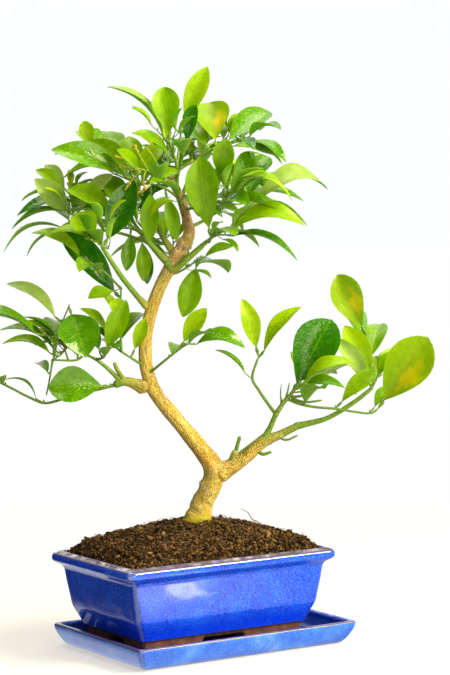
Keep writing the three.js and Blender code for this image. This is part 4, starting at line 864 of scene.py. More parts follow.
# %% Rings for many small shoots at once
def shoots(paths, thick, around, flat=None):
    """Skins for many shoots with the same counts. paths holds functions from shares to points, and
    thick the radius at even shares, or two of them: across and through a shoot whose broad sides
    face the directions in flat."""
    across, through = thick if isinstance(thick, tuple) else (thick, thick)
    share = np.linspace(0, 1, across.shape[1])
    turn = np.arange(around) * 2 * np.pi / around
    centre = np.stack([path(share) for path in paths])
    ahead = np.gradient(centre, axis=1)
    ahead /= np.linalg.norm(ahead, axis=2, keepdims=True)
    first = np.array([0.13, 0.99, 0.05]) if flat is None else flat[:, None]
    front = first - ahead * (ahead * first).sum(2, keepdims=True)
    front /= np.linalg.norm(front, axis=2, keepdims=True)
    side = np.cross(ahead, front)
    out = side[:, :, None] * np.sin(turn)[:, None] * across[:, :, None, None]
    forth = front[:, :, None] * np.cos(turn)[:, None] * through[:, :, None, None]
    return centre[:, :, None] + out + forth


def thickness_of(ones, rings, *swells):
    """Radius of each limb at even shares, times each swell."""
    thick = np.stack([radius(one, np.linspace(0, 1, rings)) for one in ones])
    for swell in swells:
        thick = thick * swell
    return thick


def limb_shoots(ones, thick, around):
    """Skins along limbs, with a radius at even shares."""
    return shoots([lambda s, one=one: along(one, s) for one in ones], thick, around)


def fields_for(points, age, knot=0.0):
    """Fields for shoots: an age for each or for each ring, fine cracks from noise, the rest even."""
    on_skin = points / (0.8, 0.8, 3.0)
    age = np.reshape(age, (-1, 1, 1)) if np.ndim(age) < 2 else age[:, :, None]
    return dict(crack=np.clip(0.3 * noise(on_skin, 3), 0, 1), swell=0.0, knot=knot, age=age, moss=0.0,
        old=0.0, skin=on_skin)


def ball_of(rings, around):
    """Points on a ball of radius 1 as rings: (sin tilt cos turn, sin tilt sin turn, cos tilt)."""
    tilt = np.pi * (np.arange(rings) + 0.5)[:, None] / rings
    turn = np.arange(around) * 2 * np.pi / around
    parts = np.sin(tilt) * np.cos(turn), np.sin(tilt) * np.sin(turn), np.cos(tilt)
    return np.stack(np.broadcast_arrays(*parts), -1)


# %% Stems of the masses, and their sprigs
STEM_RINGS, STEM_AROUND, TIP_LONG = 30, 10, 0.8
every_stem = [one for ones in stems.values() for one in ones]
length = np.array([length_of(one) for one in every_stem])[:, None]
run = np.linspace(0, 1, STEM_RINGS) * length
uneven = 0.05 * noise(np.stack([run / 3, 9 * length + 0 * run, 0 * run], -1))
tip = np.clip((run - length + TIP_LONG) / TIP_LONG, 0, 0.99)
thick = thickness_of(every_stem, STEM_RINGS, 1 + 0.3 * np.exp(-run / 1.5), 1 + uneven, np.sqrt(1 - tip**2))
stem_at = limb_shoots(every_stem, thick, STEM_AROUND)
old = np.clip((thick - 0.9) / 0.9, 0, 1) * 0.5 - 0.1
twigs = [(stem_at, fields_for(stem_at, old))]
print("stems and sprigs:", len(every_stem))

# %% Cut stubs, spurs and dry twigs
STUBS = [
    ([[-14, -3, 157], [-16, -4, 160], [-18, -5, 163]], [5.4, 5.2, 5], 0.1, 0.4),
    ([[21, -3, 33], [23, -3, 40], [24.5, -4, 44]], [5.4, 5.0, 4.2], 0.5, 0.8),
    ([[24, -3, 40], [25, -3, 46], [27, -4, 53]], [2.8, 2.5, 2.2], 0.0, 0.1),
    ([[26, -3, 42], [36, -6, 50], [47, -8, 59]], [1.5, 1.3, 1.0], 0.1, 0.0),
    ([[37, -4, 45], [41, -6.5, 42], [46.5, -8, 43.5]], [2.6, 2.2, 1.6], 0.0, 0.0),
    ([[50, -5, 53], [56, -8, 51], [63, -9, 54]], [1.6, 1.5, 1.2], 0.0, 0.2),
    ([[53, -8, 73], [52.5, -8.5, 80], [53, -9, 86]], [1.2, 0.9, 0.4], 0.0, 0.0),
    ([[55, -9, 75], [57, -9, 82], [58, -10, 87]], [1.3, 1.1, 0.6], 0.0, 0.0),
    ([[59, -10, 78], [66, -12, 79], [74, -13, 82]], [1.8, 1.5, 1.2], 0.0, 0.1),
    ([[59, -10, 77], [68, -12, 75], [78, -12, 76]], [1.8, 1.5, 1.2], 0.0, 0.1),
    ([[-44, -2, 87], [-49, -4, 95], [-51, -5, 100]], [3.0, 2.8, 2.4], 0.2, 0.4),
    ([[7, 3, 36], [10, 3, 39], [12, 2, 42]], [3.2, 2.6, 1.4], 0.8, 0.6),
]
STUB_RINGS, STUB_AROUND = 14, 12
stub_paths, stub_thick, stub_age, stub_pale = zip(*STUBS)
share = np.linspace(0, 1, STUB_RINGS)
ones = [limb(path, sizes) for path, sizes in zip(stub_paths, stub_thick)]
thick = thickness_of(ones, STUB_RINGS, np.where(share > 0.985, 0.6, 1), 1 + 0.25 * np.exp(-share * 8))
stub_at = limb_shoots(ones, thick, STUB_AROUND)
cut_end = np.reshape(stub_pale, (-1, 1, 1)) * (share[:, None] > 0.8)
twigs.append((stub_at, fields_for(stub_at, stub_age, cut_end)))
print("stubs:", len(STUBS))

# %% Spent flower stalks near the top, yellow green with dry ends
FLOWER_STALKS = [
    [[-15, -6, 213], [-28, -16, 219], [-45, -20, 222]],
    [[-20, -8, 215], [-24, -17, 226], [-29, -19, 233]],
    [[-28, -16, 219], [-33, -19, 228], [-36, -21, 234]],
    [[-32, -16, 220], [-38, -20, 214], [-42, -21, 208]],
    [[-24, -14, 217], [-28, -19, 210], [-34, -21, 206]],
    [[-36, -18, 221], [-42, -21, 226], [-48, -22, 228]],
    [[-14, -7, 214], [-8, -16, 220], [-1, -20, 225]],
    [[-30, -16, 219], [-31, -20, 213], [-30, -23, 208]],
]
ones = [limb(path, [1.1, 0.9, 1.3]) for path in FLOWER_STALKS]
flower_at = limb_shoots(ones, thickness_of(ones, STUB_RINGS), 8)
calyx_at = np.stack([along(one, end) for one in ones for end in (1.0, 0.72)])[:, None, None]
calyx_size = draws.uniform(0.55, 1.2, (len(calyx_at), 1, 1, 1))
ball = ball_of(6, 8)
calyx_at = calyx_at + ball * calyx_size * (1 + 0.4 * noise(ball * 2 + calyx_size * 9, 44))[..., None]
finish, shader, tree, where = finish_of("flower_stalk", 0.5, Specular_IOR_Level=0.2)
grain = cloudy(where, 0.7, 3)
stalk_tint = ramp(grain, (0.35, (150, 186, 16)), (0.65, (206, 214, 60)))
dry_tint = ramp(grain, (0.35, (188, 122, 20)), (0.65, (244, 196, 84)))
join(mix(field(tree, "dry"), stalk_tint, dry_tint), shader.inputs["Base Color"])
put_mesh("flower_stalks", [(flower_at, dict(dry=0.25 * share[:, None])), (calyx_at, dict(dry=1.0))],
    [finish], ["leaves_left_top", "leaves_inner", "leaves_top"], plant)

# %% [markdown]
# ## Finer growth
#
# The solids stop at leaves about three centimetres long. The real twigs end in soft young leaves,
# and thorns stand beside the stalks. The young leaves grow on from the sprigs by the same rule,
# inside the same space, and keep clear of what is there.

# %% Young leaves at the tips of the sprigs
YOUNG_LEAF, YOUNG_WIDE, YOUNG_TINTS = (12, 7), 0.36, "bffy"
for name, twig in sprig_twigs:
    tip_aim = np.degrees(np.arctan2(*(twig[0][1] - twig[0][0])[1::-1]))
    for n in range(2):
        aim, rise = tip_aim + draws.uniform(-60, 60), draws.uniform(20, 65)
        size, face = YOUNG_LEAF[0] + YOUNG_LEAF[1] * draws.random(), draws.uniform(0, 30)
        root = along(twig, 0.97)
        blades = [blade_of(root, aim + swing, rise, size, face, YOUNG_WIDE) for swing in SWINGS]
        add_leaf(name, blades, YOUNG_TINTS[draws.integers(4)], MASSES[name]["space"])
print("leaves with young ones:", len(leaves))

# %% Stalks of the leaves
STALK_RINGS, STALK_AROUND = 8, 8
share = np.linspace(0, 1, STALK_RINGS)
roots, bases, tops, aheads = (
    np.stack([leaf[key] for leaf in leaves]) for key in ("root", "base", "top", "ahead"))
scale = np.clip(np.array([leaf["length"] for leaf in leaves]) / 34, 0.45, 1.15)[:, None]
wing = np.sin(np.pi * np.clip(share * 1.12, 0, 1) ** 1.7)
across = (0.42 + 0.75 * wing) * scale * np.where(share > 0.93, 0.8, 1)
through = (0.46 - 0.08 * wing) * scale


def stalk_path(k):
    """Root to just inside the blade, sagging by 0.5 s (1 - s)."""
    reach = bases[k] + aheads[k] * 0.6 - roots[k]
    return lambda s: roots[k] + reach * s[:, None] - tops[k] * (0.5 * s * (1 - s))[:, None] * scale[k]


stalk_at = shoots([stalk_path(k) for k in range(len(leaves))], (across, through), STALK_AROUND, tops)
twigs.append((stalk_at, fields_for(stalk_at, -0.3)))
print("stalks:", len(leaves))

# %% Buds and thorns in the corners above the stalks
UP_A_BIT = np.array([0, 0, 0.7])
BUD_RADIUS = np.array([0.35, 0.62, 0.7, 0.55, 0.12]) * 0.8
THORNS, THORN_RISE = 26, np.array([0, 0, 0.8])
THORN_RADIUS = 0.42 * (1 - np.linspace(0, 1, 6)) ** 0.8 + 0.04


def bud_path(k):
    """A short way up and out from a leaf's root."""
    return lambda s: roots[k] + UP_A_BIT + (aheads[k] * 0.9 + UP_A_BIT * 1.6) * s[:, None]


def thorn_path(k, size):
    """Straight out from the corner, a little above the leaf's own direction."""
    way = aheads[k] + THORN_RISE
    way = way / np.linalg.norm(way)
    return lambda s: roots[k] + way * (size * s)[:, None]


bud_at = shoots([bud_path(k) for k in range(len(leaves))], np.tile(BUD_RADIUS, (len(leaves), 1)), 6)
twigs.append((bud_at, fields_for(bud_at, 0.1, 0.25)))
thorned = draws.permutation(len(leaves))[:THORNS]
thorn_size = draws.uniform(4, 7.5, THORNS)
thorn_paths = [thorn_path(k, size) for k, size in zip(thorned, thorn_size)]
thorn_at = shoots(thorn_paths, np.tile(THORN_RADIUS, (THORNS, 1)), 6)
twigs.append((thorn_at, fields_for(thorn_at, 0.2)))
put_mesh("twigs", twigs, [green_bark], MASSES, plant, crease=60)

# %% [markdown]
# ## Leaves
#
# A citrus leaf is leathery and glossy above, matt and paler below, folded a little along its pale
# midrib, with a slightly wavy edge. Each blade is an opaque closed skin of about 130 faces.
# Leaves of one tint share one material, and the tint goes by spray and by leaf, as on the tree:
# bright where a shoot is young, dark where a leaf is old.

# %% Blades as rings across the leaf
LEAF_RINGS = 14
LEAF_ROUND = np.array([-1, -0.52, 0, 0.52, 1, 0.98, 0.5, 0, -0.5, -0.98])
UNDER = np.array([0, 0, 0, 0, 0, 0.45, 0.9, 1, 0.9, 0.45])
LEAF_THICK = 0.36
QUAD_BELOW = np.array([0, 0, 0, 0, 0, 1, 1, 1, 1, 0])
TWIST, DROOP, PHASE, CREASE, SWEEP = (-0.25, 0.25), (0, 0.08), (0, 6.3), (0.28, 0.48), (-0.08, 0.08)


def blunt_outline(t):
    """Half width of a leaf with a round end, as a share of the widest: sin(pi t^1.45)^0.62, widest
    past the middle and full to the tip."""
    return np.clip(np.sin(np.pi * np.clip(t, 0, 1) ** 1.45), 0, 1) ** 0.62


def blade_skin(some):
    """Rings of ten points: five above from edge to edge and five below. To the rule's blade this
    adds droop k L t^2 downwards, a sweep c L t^2 sideways, a twist that turns the width with t, a
    wave 0.06 w sin(1.6 turns t) at the edges, and a channel along the midrib. The field blade
    holds t, s and a drawn number for each leaf."""
    even = np.linspace(0, 1, LEAF_RINGS)
    t = ((0.5 - 0.5 * np.cos(np.pi * even)) * 0.5 + 0.5 * even)[None, :, None]
    s = LEAF_ROUND[None, None, :]
    base, ahead, top, side, size, half, arch, sprig, tint = (
        np.stack([leaf.get(key, 0.0) for leaf in some])[:, None, None]
        for key in ("base", "ahead", "top", "side", "length", "half", "arch", "sprig", "tint"))
    drawn = lambda low, high: draws.uniform(low, high, len(some))[:, None, None]
    twist, droop, phase, fold, sweep = (drawn(*span) for span in (TWIST, DROOP, PHASE, CREASE, SWEEP))
    droop = droop + sprig * drawn(0.04, 0.24)
    broad = drawn(0.96, 1.08) * (1 - 0.3 * sprig)
    ends = np.where(np.char.isupper(tint), blunt_outline(t), outline(t))
    width = half * broad * np.maximum(ends, 0.02)
    lift = arch * size * 4 * t * (1 - t) + fold * width * np.abs(s) ** 1.3
    lift = lift + 0.06 * width * np.abs(s) * np.sin(1.6 * 2 * np.pi * t + phase + np.sign(s))
    lift = lift - 0.3 * np.exp(-((s / 0.16) ** 2)) * np.sin(np.pi * t) - LEAF_THICK * UNDER
    turn, out, aside = twist * t, width * s, sweep * size * t * t
    across = side * (aside + out * np.cos(turn) - lift * np.sin(turn))[..., None]
    above = top * (lift * np.cos(turn) + out * np.sin(turn))[..., None]
    points = base + ahead * (size * t)[..., None] + across + above
    points[..., 2] -= droop * size * t**2
    return points, dict(blade=np.stack(np.broadcast_arrays(t, s, drawn(0, 1)), -1))


# %% Leaf finishes: word, darker and lighter colour, and roughness for each letter
TINTS = dict(
    b=("bright", (134, 174, 1), (168, 196, 4), 0.34), f=("fresh", (110, 158, 1), (148, 182, 2), 0.3),
    m=("middling", (98, 144, 1), (134, 168, 2), 0.24), d=("deep", (66, 124, 1), (106, 152, 3), 0.17),
    k=("dark", (26, 94, 1), (62, 124, 4), 0.14), p=("pale", (136, 162, 60), (160, 182, 84), 0.42),
    y=("yellowing", (124, 158, 1), (150, 176, 4), 0.36))


def leaf_finish(name, base, light, roughness, glossy=False):
    """A leaf's surface: base and light blended by leaf and by mottling, a pale midrib, faint pale
    side veins at 9 to the blade that lean forwards, a yellow patch on a yellowing leaf, and a
    little light passing through."""
    finish, shader, tree, where = finish_of(name, roughness,
        Specular_IOR_Level=0.42 if glossy else 0.3,
        Specular_Tint=(1, 1, 0.6, 1) if glossy else (0.95, 1, 0.3, 1),
        Subsurface_Weight=0.38, Subsurface_Scale=0.0012, Subsurface_Radius=(0.6, 1.0, 0.12))
    t, s, chance = split(field(tree, "blade", "Vector"))
    out = abs(s)
    vein = near_middle(fraction(t * 9.0 - out * 2.2), 11.0) * clip(1.0 - out)
    rib = clip(1.0 - out * 16.0)
    mottle = cloudy(where, 0.22, 4, 0.6)
    share = clip(chance * 0.5 + (mottle - 0.42) * 2.2)
    tint = laid_over(mix(share, colour(*base), colour(*light)), (vein * 0.1, (170, 200, 60)),
        (rib * (0.25 if glossy else 0.5), (160, 190, 40)))
    if name == "leaf_yellowing":
        apart = abs(s - 0.42) * 1.6 + abs(t - 0.42) * 2.6
        patch = clip(((1.0 - apart) + (mottle - 0.5)) * 1.8)
        tint = laid_over(tint, (patch * 0.6, (216, 186, 4)), (rib * 0.5, (146, 116, 10)))
    join(tint, shader.inputs["Base Color"])
    pores, ripple = cloudy(where, 3.0, 2), cloudy(where, 0.36, 2)
    height = pores * 0.15 + vein * -0.8 + ripple * (3.4 if glossy else 1.2)
    bump(shader, height, 0.4 if glossy else 0.22, 0.0003)
    return finish


leaf_under = leaf_finish("leaf_underside", (116, 158, 34), (144, 180, 56), 0.6)

# %% One piece of leaves for each tint
for letter, (word, base, light, roughness) in TINTS.items():
    some = [leaf for leaf in leaves if leaf["tint"].lower() == letter]
    above = leaf_finish(f"leaf_{word}", base, light, roughness, letter in "dk")
    put_mesh(f"leaves_{word}", [blade_skin(some)], [above, leaf_under], MASSES, plant,
        numbers=np.tile(QUAD_BELOW, len(some) * (LEAF_RINGS - 1)), crease=62)
    print(word, "leaves:", len(some))

# %% [markdown]
# ## The pot and its tray
#
# Both were pressed in a mould, so every level is an oblong with round corners. A box with a Bevel
# modifier gives such corners but no flared wall. Here a profile says how far in each level lies,
# and rings of oblongs follow it up the outside, over the lip and down the inside.
#
# The glaze is a blue that runs thin at edges, where the brown clay shows through. It has light and
# dark flecks, and a deeper blue low on the wall, partly where it pools and partly painted dark
# reflection. Its lip top is pale, partly thin glaze and partly painted reflection, and inside the pot
# and tray it is darker, as painted shade. The foot is bare brown clay, cut into four by low arches.

# %% Rounded oblongs
CORNER_POINTS, LONG_POINTS, WIDE_POINTS = 14, 72, 48


def oblong_pattern():
    """For each point round an oblong: which corner's centre it belongs to, as signs from -1 to 1
    that slide along the straights, and the direction from that centre."""
    centre, way, curve = [], [], []
    corners = [(1, 1), (-1, 1), (-1, -1), (1, -1)]
    for k, here in enumerate(corners):
        turn = np.pi / 2 * (k + np.linspace(0, 1, CORNER_POINTS))
        centre += [np.tile(here, (CORNER_POINTS, 1))]
        way += [np.stack([np.cos(turn), np.sin(turn)], 1)]
        curve += [1 - np.abs(np.linspace(-1, 1, CORNER_POINTS))]
        count = LONG_POINTS if k % 2 == 0 else WIDE_POINTS
        slide = (np.arange(count) + 1)[:, None] / (count + 1)
        centre += [np.array(here) * (1 - slide) + np.array(corners[(k + 1) % 4]) * slide]
        way += [np.tile(way[-1][-1], (count, 1))]
        curve += [np.zeros(count)]
    return np.concatenate(centre), np.concatenate(way), np.concatenate(curve)


SLIDE, WAY, CURVE = oblong_pattern()


def oblongs(long, wide, corner, height, middle=(0, 0)):
    """Rings of points: middle + slide (size / 2 - corner) + way corner, at heights that may differ
    round the ring."""
    long, wide, corner = (np.reshape(value, (-1, 1)) for value in (long, wide, corner))
    x = middle[0] + SLIDE[:, 0] * (long / 2 - corner) + WAY[:, 0] * corner
    y = middle[1] + SLIDE[:, 1] * (wide / 2 - corner) + WAY[:, 1] * corner
    height = np.reshape(height, (len(long), -1))
    return np.stack([x, y, height + 0 * x], -1)


def quarter(start, end, steps=6):
    """Points (height, inset) round a quarter turn from start to end, bulging to the corner at the
    start's inset and the end's height: sine one way and cosine the other."""
    turn = np.linspace(0, np.pi / 2, steps)
    (h0, i0), (h1, i1) = start, end
    return np.stack([h0 + (h1 - h0) * np.sin(turn), i0 + (i1 - i0) * (1 - np.cos(turn))], 1)


# %% Pot
POT_RIM, POT_HEEL, POT_AT = (153.5, 98.5), (120.5, 74), (-3.5, 7)
POT_PROFILE = np.array([[13, 1], [15, 0.955], [17, 0.9], [21, 0.78], [25, 0.65], [28, 0.605], [31, 0.575],
    [39, 0.49], [48, 0.4], [49.6, 0.365], [51, 0.31], [52.2, 0.2], [53.2, 0.09], [54.4, 0.015],
    [55.4, 0.0], [56.4, 0.0]])
POT_TOP, RIM_ROUND, LIP_WIDE = 60, 1.1, 6.5
RIM_CORNER, HEEL_CORNER, LEAST_CORNER = 5.5, 3.5, 1.5
UNEVEN = 9, 9, 6


def pot_ring(height, share, inset=0.0):
    """A level of the pot: share 0 is the rim's size and 1 the heel's."""
    share, inset = np.asarray(share, float), np.asarray(inset, float)
    long = POT_RIM[0] + (POT_HEEL[0] - POT_RIM[0]) * share - 2 * inset
    wide = POT_RIM[1] + (POT_HEEL[1] - POT_RIM[1]) * share - 2 * inset
    corner = RIM_CORNER + (HEEL_CORNER - RIM_CORNER) * share - inset / 2
    return oblongs(long, wide, np.maximum(LEAST_CORNER, corner), height, POT_AT)


def bell(value, middle, width):
    """1 at the middle, falling off as e^-((value - middle) / width)^2."""
    return np.exp(-((value - middle) / width) ** 2)


wall_height, wall_share = along((POT_PROFILE, None), np.linspace(0, 1, 44)).T
outer_lip = np.concatenate([quarter((56.4, 0), (58.9, 2.0), 9), [[59.3, 2.9], [59.7, 3.9], [59.93, 4.7]]])
inner_lip = quarter((POT_TOP - RIM_ROUND, LIP_WIDE), (POT_TOP, LIP_WIDE - RIM_ROUND))[::-1]
inside = np.array([[54, LIP_WIDE + 0.6], [48, LIP_WIDE + 2.2], [30, LIP_WIDE + 4], [17.5, LIP_WIDE + 5]])
turns = np.concatenate([outer_lip, inner_lip, inside])
heights = np.concatenate([[13, 13.2], wall_height[1:], turns[:, 0]])
shares = np.concatenate([[1, 1], np.clip(wall_share[1:], 0, 1), np.zeros(len(outer_lip) + len(inner_lip)),
    [0.1, 0.25, 0.5, 0.8]])
insets = np.concatenate([[2.2, 0.7], 0 * wall_share[1:], turns[:, 1]])
pot_at = pot_ring(heights, shares, insets)
outward = np.concatenate([WAY, 0 * WAY[:, :1]], 1)
pot_at = pot_at + outward * (0.12 * noise(pot_at / UNEVEN, 21))[..., None]
edge = bell(insets, 1.3, 0.95) * (heights > 57) + 0.8 * bell(heights, 13.2, 0.9) \
    + 0.9 * bell(insets, LIP_WIDE - 0.2, 0.5) * (heights > POT_TOP - 2.5)
# Painted reflection: pale lightens the flat top of the lip, partly for thin, bare glaze and partly for the
# white surroundings and glints that it mirrors.
pale = np.clip((insets - 1.3) / 0.6, 0, 1) * np.clip((6.1 - insets) / 0.4, 0, 1) * (heights > 58.5)
# Painted shade: deep darkens the glaze inside the pot, below the lip.
pot_fields = dict(edge=np.clip(edge, 0, 1)[:, None], corner=CURVE, pale=pale[:, None],
    deep=0.6 * (insets > LIP_WIDE)[:, None])
print("pot rings:", len(heights), "points round:", len(CURVE))

# %% Glaze and bare clay
def glaze_finish(name, stops, shine=1.0, fleck=0.75):
    """Blue glaze: mottled through colour stops, speckled and streaked with lighter blue, flecked with
    dark, and a deeper blue low on the pot, partly where it pools and partly painted dark reflection.
    It is thin and brown by the fields edge and corner, and lighter by pale, partly thin glaze and
    partly painted reflection and glints. It is darker by deep, which is painted shade inside. A clear
    coat covers it, but for bare patches that a noise leaves on the pale lip."""
    finish, shader, tree, where = finish_of(name, 0.16, Coat_Weight=shine, Coat_Roughness=0.04,
        Specular_IOR_Level=0.4 * shine)
    edge, bent, pale_glaze_and_glint, deep = (field(tree, each) for each in ("edge", "corner", "pale", "deep"))
    height = split(where)[2]
    cloud, grain = cloudy(where, 0.055, 4, 0.6), cloudy(where, 1.3, 3, 0.7)
    patchy = cloudy(where, 0.16, 4, 0.7)
    cells = value_of(tree, "TexVoronoi", {"feature": "SMOOTH_F1"}, Vector=where, Scale=0.85,
        Randomness=1.0)
    streak = cloudy(vector("MULTIPLY", where, _1=(1.0, 1.0, 0.16)), 0.5, 3)
    speck = clip((grain - 0.5) * 6.0)
    # Partly painted reflection: below about 25 mm the wall turns a deeper blue, partly where the glaze
    # pools and partly for the dark floor and tray that it mirrors.
    low_band = clip((25.0 - height) / 7.0 + (grain - 0.5) * 2.4)
    on_pot = clip((height - 14.0) * 5.0)
    pooled_and_dark_reflection = mix(speck * 0.4, colour(1, 52, 232), colour(50, 120, 246))
    torn = (grain - 0.5) * 1.6 + 1.0
    worn = clip((edge * torn - 0.4) * 3.0)
    thin = clip((bent * torn - 0.5) * 2.4)
    # The lip's colour: brown where the glaze is thin, and a painted white reflection with glints.
    lip_tint_and_glint = ramp(patchy, (0.4, (80, 58, 38)), (0.52, (120, 104, 88)), (0.66, (206, 198, 192)))
    tint = laid_over(ramp(cloud, *stops), (speck * 0.8, (104, 166, 255)),
        (clip((0.38 - cells) * 4.0) * fleck, (0, 24, 168)), (clip((streak - 0.5) * 1.2), (70, 120, 250)),
        (low_band * on_pot * 0.85, pooled_and_dark_reflection), (worn * 0.92, (98, 66, 42)), (thin * 0.75, (138, 142, 168)),
        # deep lays a darker blue over the insides as painted shade.
        (pale_glaze_and_glint * 0.9, lip_tint_and_glint), (deep * 0.75, (4, 30, 84)))
    join(tint, shader.inputs["Base Color"])
    bare = pale_glaze_and_glint * clip((0.54 - patchy) * 9.0)
    join((1.0 - bare * 0.85) * shine, shader.inputs["Coat Weight"])
    join(worn * 0.35 + bare * 0.5 + (0.64 - 0.5 * shine), shader.inputs["Roughness"])
    bump(shader, grain + cloud, 0.06, 0.0008)
    return finish


def clay_finish(name):
    """Bare fired clay: brown with darker smudges and fine grit, quite rough."""
    finish, shader, _, where = finish_of(name, 0.85)
    smudge, grit = cloudy(where, 0.14, 5, 0.65), cloudy(where, 3.0, 3)
    tint = ramp(smudge, (0.3, (74, 40, 28)), (0.55, (122, 72, 48)), (0.75, (152, 96, 66)))
    join(laid_over(tint, (clip((grit - 0.55) * 2.0), (172, 130, 98))), shader.inputs["Base Color"])
    bump(shader, grit, 0.5, 0.0003)
    return finish


POT_BLUES = (0.3, (3, 54, 206)), (0.45, (5, 68, 226)), (0.58, (8, 86, 242)), (0.75, (30, 112, 250))
TRAY_BLUES = (0.3, (22, 88, 208)), (0.48, (38, 112, 234)), (0.62, (70, 144, 246)), (0.8, (150, 188, 242))
glaze = glaze_finish("glazed_ceramic", POT_BLUES)
tray_glaze = glaze_finish("glazed_tray", TRAY_BLUES, fleck=0.35)
dull_glaze = glaze_finish("dull_tray_floor", TRAY_BLUES, 0.0)
put_mesh("pot_glazed", [(pot_at, pot_fields)], [glaze], ["pot"], crease=50)

# %% Foot of bare clay, with arches
ARCH_LONG, ARCH_WIDE, ARCH_HIGH = (28, 38), (17, 24), 6.5
FOOT_LOW, FOOT_TOP, FOOT_WALL = 4.5, 13.6, 8.6
FOOT_INSETS = np.array([2.8, 2.5, 2.2, 1.9, 1.6])


def foot_underside(inset):
    """Height of the foot's edge round the pot: an arch rises over the middle of each side, level for
    its top width and sloping to its bottom width."""
    flat = pot_ring(0, 1, inset)[0]
    x, y = np.abs(flat[:, 0] - POT_AT[0]), np.abs(flat[:, 1] - POT_AT[1])
    on_long = np.abs(WAY[:, 1]) > 0.99
    apart = np.where(on_long, x, y)
    top, low = (np.where(on_long, a, b) / 2 for a, b in zip(ARCH_LONG, ARCH_WIDE))
    rise = np.clip((low - apart) / (low - top), 0, 1) * (CURVE == 0)
    return FOOT_LOW + ARCH_HIGH * rise * rise * (3 - 2 * rise)


low_edge = foot_underside(FOOT_INSETS[0])
levels = low_edge + (FOOT_TOP - low_edge) * np.linspace(0, 1, 5)[:, None]
outer_foot = pot_ring(levels, np.ones(5), FOOT_INSETS)
inner_foot = pot_ring(levels[::-1], np.ones(5), FOOT_WALL + FOOT_INSETS[::-1])
foot_at = np.concatenate([outer_foot, inner_foot])
put_mesh("pot_foot", [(foot_at, {})], [clay_finish("bare_clay")], ["pot"], loop=True, crease=40)

# %% Tray
TRAY_SIZE, TRAY_CORNER, TRAY_FLOOR = (159.6, 107), 3.6, 4.2
TRAY_LEVELS = np.array([[0, 8.8], [0.25, 7.9], [1.3, 6], [4, 3.8], [7.6, 1.8], [10.4, 0.5], [12.4, 0.05],
    [13.4, 0.0], [14.1, 0.45], [14.4, 1.3], [14.35, 2.5], [13.9, 3.4], [13, 3.85], [11, 4.2], [7, 6.3],
    [5.2, 7.8], [4.4, 9.2], [TRAY_FLOOR, 11]])
FLOOR_INSETS, FLOOR_CORNERS = np.array([20, 34, 48.0]), np.array([4, 3, 2.0])
tray_height, tray_inset = np.maximum(along((TRAY_LEVELS, None), np.linspace(0, 1, 60)), 0).T
tray_corner = np.append(TRAY_CORNER - tray_inset / 8, FLOOR_CORNERS)
tray_height = np.append(tray_height, [TRAY_FLOOR] * 3)
tray_inset = np.append(tray_inset, FLOOR_INSETS)
tray_at = oblongs(TRAY_SIZE[0] - 2 * tray_inset, TRAY_SIZE[1] - 2 * tray_inset, tray_corner, tray_height)
tray_at[4:] += (outward * 0.1)[None] * noise(tray_at[4:] / UNEVEN, 22)[..., None]
edge = bell(tray_height, 14.2, 0.95) * (tray_inset < 1.8) \
    + 0.9 * bell(tray_height, 0.5, 1.0) * (tray_inset > 6) * (tray_inset < 9)
# Painted highlight: pale lightens the top of the tray's rim as pale glints.
pale = 0.5 * np.clip((tray_inset - 1.8) / 0.5, 0, 1) * (tray_height > 13.4)
# Painted shade: deep darkens the whole inside of the tray, walls and floor.
deep = 1.0 * (tray_inset > 3.9) * (tray_height > 4.1)
tray_fields = dict(edge=np.clip(edge, 0, 1)[:, None], corner=CURVE * 0.9, pale=pale[:, None],
    deep=deep[:, None])
on_floor = (tray_inset[1:] > 9) & (tray_height[1:] < 4.6)
put_mesh("tray_glazed", [(tray_at, tray_fields)], [tray_glaze, dull_glaze], ["tray"],
    numbers=np.repeat(on_floor, len(CURVE)), crease=50)

# %% [markdown]
# ## Soil
#
# The compost is heaped up to the trunk and is all crumbs: dark brown lumps, lighter chips of bark,
# and fine fibres. A particle system would scatter one shape. Here one array holds every crumb, each
# with its own size and lumps, half sunk in a rough heap that follows the solid.

# %% The heap
SOIL_EDGE, SOIL_CORNER = (139.9, 84.9), 2.1
PATCH, PATCH_CORNER = 22, 11
SOIL_LOW, SOIL_PEAK, SOIL_BOTTOM = 57.5, 77.7, 50
SOIL_SLOPE = np.array([[0, 0], [0.05, 0.16], [0.16, 0.42], [0.34, 0.6], [0.55, 0.75], [0.76, 0.89],
    [0.93, 0.99], [1, 1]])
HEAP_RINGS = 150


def heap_at(share):
    """Rings on the heap from the pot's wall (0) to the trunk (1). Size and middle go straight from
    the oblong edge to the round patch; height follows the slope table, plus three sizes of noise."""
    share = np.reshape(share, (-1, 1))
    long = SOIL_EDGE[0] + (PATCH - SOIL_EDGE[0]) * share
    wide = SOIL_EDGE[1] + (PATCH - SOIL_EDGE[1]) * share
    corner = SOIL_CORNER + (PATCH_CORNER - SOIL_CORNER) * share
    height = SOIL_LOW + (SOIL_PEAK - SOIL_LOW) * np.interp(share, *SOIL_SLOPE.T)
    at = oblongs(long, wide, corner, height)
    at[..., 0] += POT_AT[0] + (FOOT[0] - POT_AT[0]) * share
    at[..., 1] += POT_AT[1] + (FOOT[1] - POT_AT[1]) * share
    rough = 1.1 * noise(at / 7, 31) + 0.85 * noise(at / 2.9, 32) + 0.35 * noise(at / 1.1, 33)
    at[..., 2] += rough * np.clip(share * 30, 0.15, 1)
    return at


heap = heap_at(np.linspace(0, 1, HEAP_RINGS) ** 0.9)
middle = heap[-1:].mean(1, keepdims=True)
cap = middle + (heap[-1:] - middle) * np.array([0.7, 0.4, 0.12])[:, None, None]
sunk = heap[:1].copy()
sunk[..., 2] = SOIL_BOTTOM
soil_at = np.concatenate([sunk, heap, cap])
